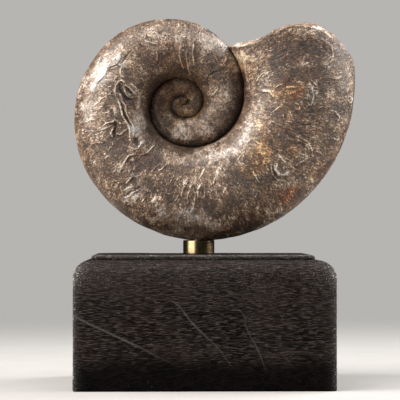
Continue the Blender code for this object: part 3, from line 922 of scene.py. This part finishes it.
# %% Mottling
# Cloudy patches of a chosen size, from 0 to 1, with a chosen share of them dark.
mottling, given, wanted = new_group(
    "mottling", Coordinates=None, Patches_per_Metre=250.0, Roughness=0.6, Low=0.4, High=0.6, Seed=0.0
)
cloud_inputs = {
    "Vector": given["Coordinates"], "Scale": given["Patches per Metre"],
    "Roughness": given["Roughness"], "Detail": 4.0, "W": given["Seed"],
}
cloud = add_node(mottling, "TexNoise", cloud_inputs, noise_dimensions="4D").outputs["Fac"]
set_inputs(mottling, wanted, {"Mask": between(mottling, cloud, given["Low"], given["High"])})


def mottled(tree, seed, where, patches_per_metre, low, high, roughness=0.6):
    return use_group(
        tree, mottling, Coordinates=where, Patches_per_Metre=patches_per_metre,
        Roughness=roughness, Low=low, High=high, Seed=seed,
    )


# %% Thin line
# From a distance across a line, in half widths, to a mask that is 1 on the line.
thin_line, given, wanted = new_group("thin_line", Across=1.0, Half_Width=1.0)
off_line = maths(thin_line, "DIVIDE", maths(thin_line, "ABSOLUTE", given["Across"]), given["Half Width"])
set_inputs(thin_line, wanted, {"Mask": between(thin_line, off_line, 1.35, 0.1)})

# %% Wisps
# Thin winding lines, such as traces of crushed shell: the places where a cloud
# crosses its middle value. A second cloud breaks them into short lengths.
CLOUD_MIDDLE = 0.5
wisps, given, wanted = new_group(
    "wisps", Coordinates=None, Loops_per_Metre=300.0, Half_Width=0.02, Seed=0.0
)
where, scale = given["Coordinates"], given["Loops per Metre"]
loop_inputs = {"Vector": where, "Scale": scale, "Detail": 1.5, "W": given["Seed"]}
loops = add_node(wisps, "TexNoise", loop_inputs, noise_dimensions="4D").outputs["Fac"]
crossing = maths(wisps, "SUBTRACT", loops, CLOUD_MIDDLE)
crossing = use_group(wisps, thin_line, Across=crossing, Half_Width=given["Half Width"])
kept = mottled(wisps, maths(wisps, "ADD", given["Seed"], 20.0), where, scale, 0.47, 0.60)
set_inputs(wisps, wanted, {"Mask": times(wisps, crossing, kept)})

# %% Growth streaks
# Thin lines that run out from the axis of the coil and widen with it, as the
# shell's growth lines do.
growth_streaks, given, wanted = new_group(
    "growth_streaks", Coordinates=None, Streaks_per_Radian=50.0, Streaks_across_a_Whorl=9.0,
    Low=0.5, High=0.75,
)
tree = growth_streaks
parts = add_node(tree, "SeparateXYZ", {0: given["Coordinates"]}).outputs
flat_place = add_node(tree, "CombineXYZ", {"X": parts["X"], "Z": parts["Z"]}).outputs[0]
around = vector_maths(tree, "NORMALIZE", flat_place)
around = vector_maths(tree, "SCALE", around, scale=given["Streaks per Radian"])
round_parts = add_node(tree, "SeparateXYZ", {0: around}).outputs
axis_gap = maths(tree, "MAXIMUM", vector_maths(tree, "LENGTH", flat_place), 0.5 * MM)
scale = given["Streaks across a Whorl"]
outwards = times(tree, maths(tree, "LOGARITHM", axis_gap, math.e), scale)
depth_share = times(tree, maths(tree, "DIVIDE", parts["Y"], axis_gap), scale)
streak_parts = {"X": round_parts["X"], "Y": round_parts["Z"], "Z": maths(tree, "ADD", outwards, depth_share)}
streak_place = add_node(tree, "CombineXYZ", streak_parts).outputs[0]
lines = add_node(tree, "TexNoise", {"Vector": streak_place, "Scale": 1.0, "Detail": 3.0}).outputs["Fac"]
set_inputs(tree, wanted, {"Mask": between(tree, lines, given["Low"], given["High"])})

# %% Ragged stain
# Breaks up a soft mask with mottling, so that a stain gets a ragged edge.
ragged_stain, given, wanted = new_group("ragged_stain", Cover=0.0, Mottling=0.5, Raggedness=0.8)
broken_up = maths(ragged_stain, "SUBTRACT", given["Mottling"], CLOUD_MIDDLE)
broken_up = maths(ragged_stain, "ADD", given["Cover"], times(ragged_stain, broken_up, given["Raggedness"]))
set_inputs(ragged_stain, wanted, {"Mask": between(ragged_stain, broken_up, 0.2, 0.8)})
print("node groups:", [group.name for group in bpy.data.node_groups])

# %% [markdown]
# ## The stone's finish
#
# The stone is a brown and grey limestone, cleaned and waxed, so it has a soft
# gloss with duller pits. A photograph of stone could be wrapped round it, but
# no flat picture fits a coil. Layers of noise in the fossil's own space fit it
# without a map: a mottled ground, paler streaks along the growth lines, fine
# pale and dark flecks, and then the stains and marks that were drawn above.

# %% Prepare the limestone's masks
def bent_by(tree, where, bends_per_metre, reach):
    """Coordinates pushed about by noise, so that lines drawn with them wander."""
    bend = add_node(tree, "TexNoise", {"Vector": where, "Scale": bends_per_metre, "Detail": 3.0})
    bend = vector_maths(tree, "SUBTRACT", bend.outputs["Color"], [CLOUD_MIDDLE] * 3)
    return vector_maths(tree, "ADD", where, vector_maths(tree, "SCALE", bend, scale=reach))


def streaked(where, per_radian, per_whorl, low, high):
    return use_group(
        tree, growth_streaks, Coordinates=where, Streaks_per_Radian=per_radian,
        Streaks_across_a_Whorl=per_whorl, Low=low, High=high,
    )


limestone, tree, shader, place = new_material("waxed_limestone")
bent = bent_by(tree, place, 300.0, 4.0 * MM)
combed = bent_by(tree, place, 340.0, 2.4 * MM)
clusters = mottled(tree, 17.0, bent, 230.0, 0.42, 0.60)
patches = mottled(tree, 1.0, bent, 135.0, 0.37, 0.63)
spots = mottled(tree, 2.0, bent, 480.0, 0.38, 0.62, 0.7)
grit = mottled(tree, 12.0, place, 1550.0, 0.43, 0.57)
flecks = mottled(tree, 3.0, bent, 1150.0, 0.57, 0.63)
pits = mottled(tree, 4.0, place, 900.0, 0.56, 0.64)
greys = mottled(tree, 13.0, bent, 300.0, 0.42, 0.62, 0.7)
ragged = mottled(tree, 5.0, bent, 420.0, 0.3, 0.7, 0.7)
fibres = streaked(combed, 88.0, 16.0, 0.50, 0.62)
fibres = times(tree, fibres, weighted(tree, 0.35, (clusters, 0.95)))
dark_fibres = streaked(combed, 74.0, 13.0, 0.47, 0.36)
wide_streaks = streaked(bent, 26.0, 5.0, 0.40, 0.62)
curls = use_group(tree, wisps, Coordinates=bent, Loops_per_Metre=330.0, Half_Width=0.016, Seed=1.5)
fine_curls = use_group(tree, wisps, Coordinates=place, Loops_per_Metre=680.0, Half_Width=0.030, Seed=4.5)

off_centre = weighted(tree, -0.3, (ragged, 0.6))
across_line = maths(tree, "ADD", mask_named(tree, "line_across"), off_centre)
on_line = use_group(tree, thin_line, Across=across_line, Half_Width=1.05)
line_relief = times(tree, on_line, mask_named(tree, "line_rise"))
across_edge = maths(tree, "ADD", mask_named(tree, "edge_across"), off_centre)
edge_relief = times(tree, between(tree, across_edge, -0.15, 0.15), mask_named(tree, "edge_step"))
seam, broken = mask_named(tree, "seam"), mask_named(tree, "broken")
stains = {
    name: use_group(tree, ragged_stain, Cover=mask_named(tree, name), Mottling=ragged, Raggedness=0.9)
    for name in STAINS
}

# %% Mix the limestone's colour
# First one tone, from 0 for the darkest stone to 1 for shell, then tints over it.
STONE_SHADES = (
    (0.0, (0.024, 0.0130, 0.0066, 1)), (0.3, (0.079, 0.0425, 0.0222, 1)),
    (0.5, (0.172, 0.099, 0.055, 1)), (0.7, (0.335, 0.221, 0.136, 1)),
    (1.0, (0.750, 0.655, 0.540, 1)),
)
GREY_TINT = (0.82, 0.90, 0.98, 1)
STAIN_TINTS = {
    "umber_and_shade": (0.96, 0.80, 0.78, 1), "slate": (0.84, 0.93, 1.06, 1), "ochre": (1.18, 0.985, 0.65, 1),
    "rust": (1.20, 0.74, 0.48, 1), "cream_and_lit": (0.98, 1.06, 1.20, 1),
}
# Colour of the dirt and painted shade in the seams
SEAM_DIRT_AND_SHADE = (0.012, 0.0056, 0.0024, 1)

fine = weighted(
    tree, -0.320, (spots, 0.09), (grit, 0.32), (fibres, 0.32), (dark_fibres, -0.18), (flecks, 0.15),
    (curls, 0.21), (fine_curls, 0.29), (pits, -0.15),
)
fine = times(tree, fine, weighted(tree, 1.05, (stains["cream_and_lit"], -0.50)))
tone = weighted(
    tree, maths(tree, "ADD", fine, 0.215), (patches, 0.36), (clusters, 0.05), (wide_streaks, 0.10),
    (greys, -0.08), (stains["cream_and_lit"], 0.27), (stains["umber_and_shade"], -0.17), (stains["slate"], -0.05),
    (stains["ochre"], 0.10), (stains["rust"], -0.20), (between(tree, line_relief, 0.02, 0.3), 0.55),
    (between(tree, line_relief, -0.02, -0.25), -0.6), (broken, 0.14), (edge_relief, 0.6),
)
colour = shaded(tree, tone, STONE_SHADES)
tints = [(times(tree, greys, 0.7), GREY_TINT)] + [(stains[name], tint) for name, tint in STAIN_TINTS.items()]
for share, tint in tints:
    colour = mixed(tree, share, colour, mixed(tree, 1.0, colour, tint, "MULTIPLY"))
# Dirt and painted shade darken the seams
colour = mixed(tree, times(tree, seam, 0.95), colour, SEAM_DIRT_AND_SHADE)

# %% Give the stone its gloss and relief
def bumpy(tree, height, reach, strength):
    """A normal that shows a height as relief; reach is the height of 1, in metres."""
    return add_node(tree, "Bump", {"Height": height, "Distance": reach, "Strength": strength}).outputs[0]


dull = weighted(tree, 0.42, (pits, 0.25), (patches, 0.06), (broken, 0.3), (seam, 0.4))
cream_and_lit = mask_named(tree, "cream_and_lit")
wax = weighted(tree, 0.22, (cream_and_lit, 0.36), (pits, -0.2), (seam, -0.6), (broken, -0.8))
relief_mm = weighted(
    tree, maths(tree, "ADD", line_relief, edge_relief), (spots, 0.10), (grit, 0.06), (flecks, 0.05),
    (pits, -0.11), (fibres, 0.14), (dark_fibres, -0.09), (wide_streaks, 0.07), (curls, 0.15),
    (fine_curls, 0.09),
)
finish = {"Base Color": colour, "Roughness": dull, "Coat Weight": between(tree, wax, 0.0, 1.0)}
set_inputs(tree, shader, {**finish, "Coat Roughness": 0.30, "Normal": bumpy(tree, relief_mm, MM, 1.0)})
fossil.data.materials.append(limestone)
print("limestone nodes:", len(tree.nodes))

# %% [markdown]
# ## Brass collar
#
# A slice of polished brass tube carries the stone. It could be a plain cylinder,
# but a turned ring has a bevel at each rim and a bore for the pin, and both
# catch light. The ring is made by turning one outline round its axis.

# %% Turn the collar
PLINTH_HEIGHT = 50.4
COLLAR_SIDES = 160
COLLAR_OUTLINE_MM = (
    (2.8, 0.0), (5.75, 0.0), (5.92, 0.05), (6.05, 0.16), (6.1, 0.32), (6.1, 0.36), (6.1, 2.7),
    (6.1, 5.04), (6.1, 5.08), (6.05, 5.24), (5.92, 5.35), (5.75, 5.4), (2.8, 5.4), (2.8, 2.7),
)


def turned(outline_mm, sides):
    """Points and faces of a ring: the outline, as (radius, height), turned round a vertical axis."""
    points, polygons = [], []
    count = len(outline_mm)
    for side in range(sides):
        turn = 2 * math.pi * side / sides
        for radius, up in outline_mm:
            points.append((radius * MM * math.cos(turn), radius * MM * math.sin(turn), up * MM))
        here, there = side * count, (side + 1) % sides * count
        for index in range(count):
            above = (index + 1) % count
            polygons.append((here + index, there + index, there + above, here + above))
    return points, polygons


collar_place = (COLLAR_X, 0.0, PLINTH_HEIGHT * MM)
collar = new_object("turned_collar", *turned(COLLAR_OUTLINE_MM, COLLAR_SIDES), collar_place)
collar.data.set_sharp_from_angle(angle=math.radians(40.0))
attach(collar, "root")
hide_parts("brass_collar")
print("collar", [round(side / MM, 1) for side in collar.dimensions])

# %% Polish the brass
def finish_metal(tree, shader, patches, colours, roughness, scores, depth):
    """Two colours and two roughnesses that change with the patches, and fine scored lines."""
    finish = {"Base Color": mixed(tree, patches, *colours), "Metallic": 1.0}
    finish["Roughness"] = between(tree, patches, 0.0, 1.0, *roughness)
    finish["Normal"] = bumpy(tree, scores, 0.01 * MM, depth)
    set_inputs(tree, shader, finish)


BRASS, TARNISHED = (0.38, 0.285, 0.16, 1), (0.20, 0.135, 0.065, 1)
brass, tree, shader, place = new_material("polished_brass")
flattened = vector_maths(tree, "MULTIPLY", place, (0.02, 0.02, 1.0))
rings = mottled(tree, 6.0, flattened, 5200.0, 0.3, 0.7, 0.7)
tarnish = mottled(tree, 7.0, place, 420.0, 0.45, 0.75)
finish_metal(tree, shader, tarnish, (BRASS, TARNISHED), (0.21, 0.31), rings, 0.5)
collar.data.materials.append(brass)

# %% [markdown]
# ## Steel pin
#
# The pin is out of sight inside the collar, so the CAD rod stays as it is and
# only gets a drawn-steel finish.

# %% Finish the pin
STEEL, WORN_STEEL = (0.36, 0.35, 0.34, 1), (0.50, 0.49, 0.47, 1)
steel, tree, shader, place = new_material("drawn_steel")
drawn = vector_maths(tree, "MULTIPLY", place, (1.0, 1.0, 0.03))
scores = mottled(tree, 8.0, drawn, 4000.0, 0.3, 0.7, 0.7)
finish_metal(tree, shader, scores, (STEEL, WORN_STEEL), (0.28, 0.42), scores, 0.4)
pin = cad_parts["steel_pin"]
pin.data.materials.clear()
pin.data.materials.append(steel)

# %% [markdown]
# ## Wooden plinth
#
# The plinth is a sawn block with a rounded shoulder and a slightly raised panel
# on top, where the router stopped short. A cube with bevels would do for the
# form, but wear and waves need many small faces, so the block is lofted from
# rings: each ring is a rectangle with eased corners, and the rings follow the
# side, the shoulder and the panel upwards.

# %% Loft the plinth
# Sizes in mm, and numbers of steps
PLINTH_WIDTH, PLINTH_DEPTH = 98.0, 64.0
SHOULDER, RIGHT_SHOULDER = 6.4, 7.4
PANEL_RISE, PANEL_GROOVE, LEDGE = 1.8, 0.12, 0.05
PANEL_EASING, CORNER_EASING = 1.1, 0.6
BLOCK_TOP = PLINTH_HEIGHT - PANEL_RISE
PANEL_FOOT = BLOCK_TOP + 0.1
TOP_INSETS = (1.8, 3.0, 5.0, 8.0, 12.0, 17.0)
FOOT_STEPS, SIDE_LEVELS, SHOULDER_STEPS, PANEL_LEVELS, PANEL_STEPS = 3, 68, 14, 3, 5
LONG_STEPS, SHORT_STEPS, CORNER_STEPS = 190, 84, 4


def quarter_turn(steps, first=1):
    """Angles in radians, in even steps up to 90 degrees."""
    return [math.radians(90 * step / steps) for step in range(first, steps + 1)]


def plinth_rings():
    """(height, inset, right inset, corner radius) of each ring in mm, from the foot up."""
    for turn in quarter_turn(FOOT_STEPS, first=0):
        inset = CORNER_EASING * (1 - math.sin(turn))
        yield CORNER_EASING * (1 - math.cos(turn)), inset, inset, CORNER_EASING
    straight = BLOCK_TOP - SHOULDER
    for height in np.linspace(CORNER_EASING, straight, SIDE_LEVELS)[1:]:
        yield height, 0.0, 0.0, CORNER_EASING
    for turn in quarter_turn(SHOULDER_STEPS):
        share = 1 - math.cos(turn)
        yield straight + SHOULDER * math.sin(turn), SHOULDER * share, RIGHT_SHOULDER * share, CORNER_EASING
    yield BLOCK_TOP - PANEL_GROOVE, SHOULDER + LEDGE, RIGHT_SHOULDER + LEDGE, CORNER_EASING
    heights = np.linspace(PANEL_FOOT, PLINTH_HEIGHT - PANEL_EASING, PANEL_LEVELS)
    panel = [(height, PANEL_GROOVE) for height in heights]
    for turn in quarter_turn(PANEL_STEPS):
        height = PLINTH_HEIGHT - PANEL_EASING * (1 - math.sin(turn))
        panel.append((height, PANEL_GROOVE + PANEL_EASING * (1 - math.cos(turn))))
    for height, inset in panel + [(PLINTH_HEIGHT, inset) for inset in TOP_INSETS]:
        yield height, SHOULDER + inset, RIGHT_SHOULDER + inset, PANEL_EASING


def ring_points(height, inset, right_inset, corner):
    """Points of one ring, anticlockwise from above, starting at the front left corner."""
    left = inset - PLINTH_WIDTH / 2 + corner
    right = PLINTH_WIDTH / 2 - right_inset - corner
    near = inset - PLINTH_DEPTH / 2 + corner
    middles = ((left, near, 180), (right, near, 270), (right, -near, 0), (left, -near, 90))
    points = []
    for index, (x, y, start) in enumerate(middles):
        for step in range(CORNER_STEPS + 1):
            turn = math.radians(start + 90 * step / CORNER_STEPS)
            points.append((x + corner * math.cos(turn), y + corner * math.sin(turn), height))
        next_x, next_y, _ = middles[(index + 1) % 4]
        first = np.array(points[-1])
        last = np.array((next_x + corner * math.cos(turn), next_y + corner * math.sin(turn), height))
        steps = SHORT_STEPS if index % 2 else LONG_STEPS
        points += [tuple(first + (last - first) * step / steps) for step in range(1, steps)]
    return points


rings = [ring_points(*ring) for ring in plinth_rings()]
around_count = len(rings[0])
block_points = np.concatenate(rings) * MM
block_faces = []
for here in range(0, len(block_points) - around_count, around_count):
    above = here + around_count
    for index in range(around_count):
        beside = (index + 1) % around_count
        block_faces.append((here + index, here + beside, above + beside, above + index))
block_faces.append(tuple(range(around_count))[::-1])
block_faces.append(tuple(range(len(block_points) - around_count, len(block_points))))
plinth = new_object("stained_plinth", block_points.tolist(), block_faces)
print(f"plinth: {len(block_points)} vertices, {[round(side / MM, 1) for side in plinth.dimensions]} mm")

# %% Wear the plinth
# Rays cross the grain of the front, and are drawn on the picture as the stone's marks are
RAYS = (
    (0.22, 0.40, 68, 313, 84, 321.5, 98, 328, 114, 335.5, 128, 342, 141, 348),
    (0.10, 0.34, 128, 342, 141, 348, 156, 356, 170, 362.5, 178, 366),
    (0.19, 0.30, 168, 299, 176, 303.6, 182, 309.6, 189, 319, 197, 328, 206, 336.5, 214, 344),
    (0.13, 0.28, 208, 338, 214, 344, 222, 353, 229, 363, 234, 370),
    (0.12, 0.24, 238, 309, 244.5, 316.5, 245.6, 325, 249.6, 335, 255, 344),
    (0.16, 0.24, 252, 338, 255, 344, 260, 355, 264, 366, 267, 377),
    (0.08, 0.28, 284, 356, 289, 362, 295, 372), (0.06, 0.60, 316, 308, 322, 304, 329, 301.5, 336, 300),
)
# Painted shade in the lee of a ray. Each row: the ray's own row, depth, reach in mm, how blunt its ends are
LEES = ((1, 1.0, 13.0, 0.2), (0, 0.9, 13.0, 0.2), (2, 0.6, 6.0, 0.0), (5, 0.5, 5.0, 0.0))


def near(values, target_mm, reach_mm):
    """1 at the target, and falling off on both sides of it."""
    return np.exp(-np.abs(values - target_mm * MM) / (reach_mm * MM))


block = vectors(plinth.data.vertices, "co")
facing = vectors(plinth.data.vertex_normals, "vector")
seen_at = picture_place(block)
on_front = block[:, 1] < (0.7 - PLINTH_DEPTH / 2) * MM
ray_across, ray_rise = drawn_marks(seen_at, RAYS)
ray_rise = ray_rise * on_front
ray_height = 0.5 * ray_rise * np.exp(-(ray_across**2))
waves = 0.10 * fractal(block, 14 * MM, 2) + 0.05 * fractal(block * (0.3, 1, 1), 2.2 * MM, 2, 4.4)
waves[block[:, 2] < 1 * MM] = 0.0
crumbled = 0.22 * fractal(block, 1.4 * MM, 3, 2.2) * near(block[:, 2], 49.8, 0.8)
crumbled[block[:, 2] > (PLINTH_HEIGHT - 0.01) * MM] = 0.0
block = block + facing * ((waves + ray_height + crumbled) * MM)[:, None]
move_vertices(plinth, block)

level = block[:, 2]
inset_x = PLINTH_WIDTH / 2 * MM - np.abs(block[:, 0])
inset_y = PLINTH_DEPTH / 2 * MM - np.abs(block[:, 1])
inset = np.minimum(inset_x, inset_y)
upright = np.exp(-np.maximum(inset_x, inset_y) / (0.9 * MM))
lip = near(level, 50.2, 0.5) * near(inset, 7.2, 1.2)
quirk = near(level, PANEL_FOOT, 0.35) * (inset < 9 * MM)
shoulder_ends = 0.8 * np.exp(-inset_x / (2.6 * MM)) * np.clip((level - 37 * MM) / (5 * MM), 0, 1)
# Worn edges, lightened both by wear and as a painted highlight on the corners, the panel's lip and the
# shoulder ends
worn_and_highlit = np.clip(0.65 * upright + 0.45 * lip + shoulder_ends, 0, 1)
lee = np.zeros(len(block))
for row, depth, reach, blunt in LEES:
    gap, along, beside = line_distance(seen_at, RAYS[row][2:])
    lee = np.maximum(lee, depth * tapered(along, 8.0, blunt) * (beside > 0) * np.exp(-gap / reach))
wear_and_shade = {"ray_across": ray_across, "ray_rise": ray_rise, "worn_and_highlit": worn_and_highlit, "quirk": quirk, "lee": lee * on_front}
save_masks(plinth, wear_and_shade)
plinth.data.set_sharp_from_angle(angle=math.radians(50.0))
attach(plinth, "root")
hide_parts("wooden_plinth")

# %% [markdown]
# ### The wood's finish
#
# The wood is stained almost black, but its pores stay open and its surface is
# satin, so it shows grain by gloss and relief more than by colour. The pores are
# noise stretched along the grain, which runs from left to right. Because the
# noise is solid, the ends of the block show the pores as dots without more work.

# %% Stain the wood
wood, tree, shader, place = new_material("blackened_wood")
along_grain = vector_maths(tree, "MULTIPLY", bent_by(tree, place, 90.0, 1.4 * MM), (0.085, 1.0, 1.0))
pores = mottled(tree, 9.0, along_grain, 4000.0, 0.475, 0.50, 0.25)
glints = mottled(tree, 14.0, along_grain, 4300.0, 0.55, 0.575, 0.25)
sparks = mottled(tree, 18.0, place, 1900.0, 0.60, 0.65, 0.5)
open_grain = mottled(tree, 15.0, place, 60.0, 0.35, 0.62)
figure = mottled(tree, 10.0, along_grain, 120.0, 0.3, 0.7)
specks = mottled(tree, 11.0, place, 1500.0, 0.70, 0.74, 0.5)
dust = mottled(tree, 16.0, place, 2500.0, 0.50, 0.62)
reddish = mottled(tree, 19.0, bent_by(tree, place, 60.0, 20 * MM), 36.0, 0.50, 0.72)
up = add_node(tree, "SeparateXYZ", {0: bent_by(tree, place, 60.0, 14 * MM)}).outputs["Z"]
# Painted shade: the wood darkens towards the foot of the block
painted_foot_shade = between(tree, up, 16.5 * MM, 5.5 * MM)
near_top = between(tree, up, 26 * MM, 47 * MM)
on_ray = use_group(tree, thin_line, Across=mask_named(tree, "ray_across"), Half_Width=1.3)
on_ray = times(tree, on_ray, mask_named(tree, "ray_rise"))
on_ray = times(tree, on_ray, weighted(tree, 0.55, (dust, 0.6)))
pore_depth = times(tree, pores, weighted(tree, 0.76, (open_grain, 0.24), (near_top, -0.22)))
worn_and_highlit = mask_named(tree, "worn_and_highlit")
spark_share = weighted(tree, 0.0, (worn_and_highlit, 0.9), (near_top, 0.10))

WOOD_COLOURS = (0.017, 0.0131, 0.0122, 1), (0.027, 0.0214, 0.0200, 1)
REDDISH_TINT = (1.25, 0.88, 0.82, 1)
# Upwards from the bare wood: painted shade beside the rays, painted glints, dust, pores, rays, painted
# shade at the foot, worn edges with painted highlight, a dark line round the panel, then sparks and specks
wood_colour = mixed(tree, figure, *WOOD_COLOURS)
wood_colour = mixed(tree, reddish, wood_colour, mixed(tree, 1.0, wood_colour, REDDISH_TINT, "MULTIPLY"))
for cover, layer_colour in (
    (times(tree, mask_named(tree, "lee"), 0.6), (0.004, 0.0028, 0.0024, 1)),
    (times(tree, glints, 0.6), (0.088, 0.073, 0.067, 1)),
    (times(tree, dust, weighted(tree, 0.07, (near_top, 0.08))), (0.12, 0.096, 0.088, 1)),
    (pore_depth, (0.0016, 0.0010, 0.0009, 1)),
    (times(tree, on_ray, 4.0), (0.105, 0.098, 0.094, 1)),
    (times(tree, painted_foot_shade, 0.94), (0.0010, 0.0006, 0.0005, 1)),
    (times(tree, worn_and_highlit, weighted(tree, 0.15, (dust, 0.85))), (0.38, 0.36, 0.35, 1)),
    (times(tree, mask_named(tree, "quirk"), 0.9), (0.0016, 0.0010, 0.0008, 1)),
    (times(tree, sparks, spark_share), (0.70, 0.68, 0.66, 1)),
    (times(tree, specks, 0.8), (0.34, 0.30, 0.28, 1)),
):
    wood_colour = mixed(tree, cover, wood_colour, layer_colour)
satin = weighted(tree, 0.40, (figure, 0.08), (pore_depth, 0.3), (painted_foot_shade, 0.3))
grain_mm = weighted(tree, 0.0, (pore_depth, -0.14), (glints, 0.06), (dust, 0.04), (on_ray, 0.4))
finish = {"Base Color": wood_colour, "Roughness": satin, "Normal": bumpy(tree, grain_mm, MM, 0.8)}
set_inputs(tree, shader, {**finish, "Specular IOR Level": 0.06})
plinth.data.materials.append(wood)
print("wood nodes:", len(tree.nodes))

# %% [markdown]
# ## Sizes of the CAD and the dressed model
#
# The boxes of the CAD model and of the dressed model are printed side by side.
# The dressed model has to fill the same box as the CAD model.

# %% Print the sizes
seen_low, seen_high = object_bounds()
print("CAD box", [round(x / MM, 2) for corner in (cad_low, cad_high) for x in corner])
print("visual box", [round(x / MM, 2) for corner in (seen_low, seen_high) for x in corner])
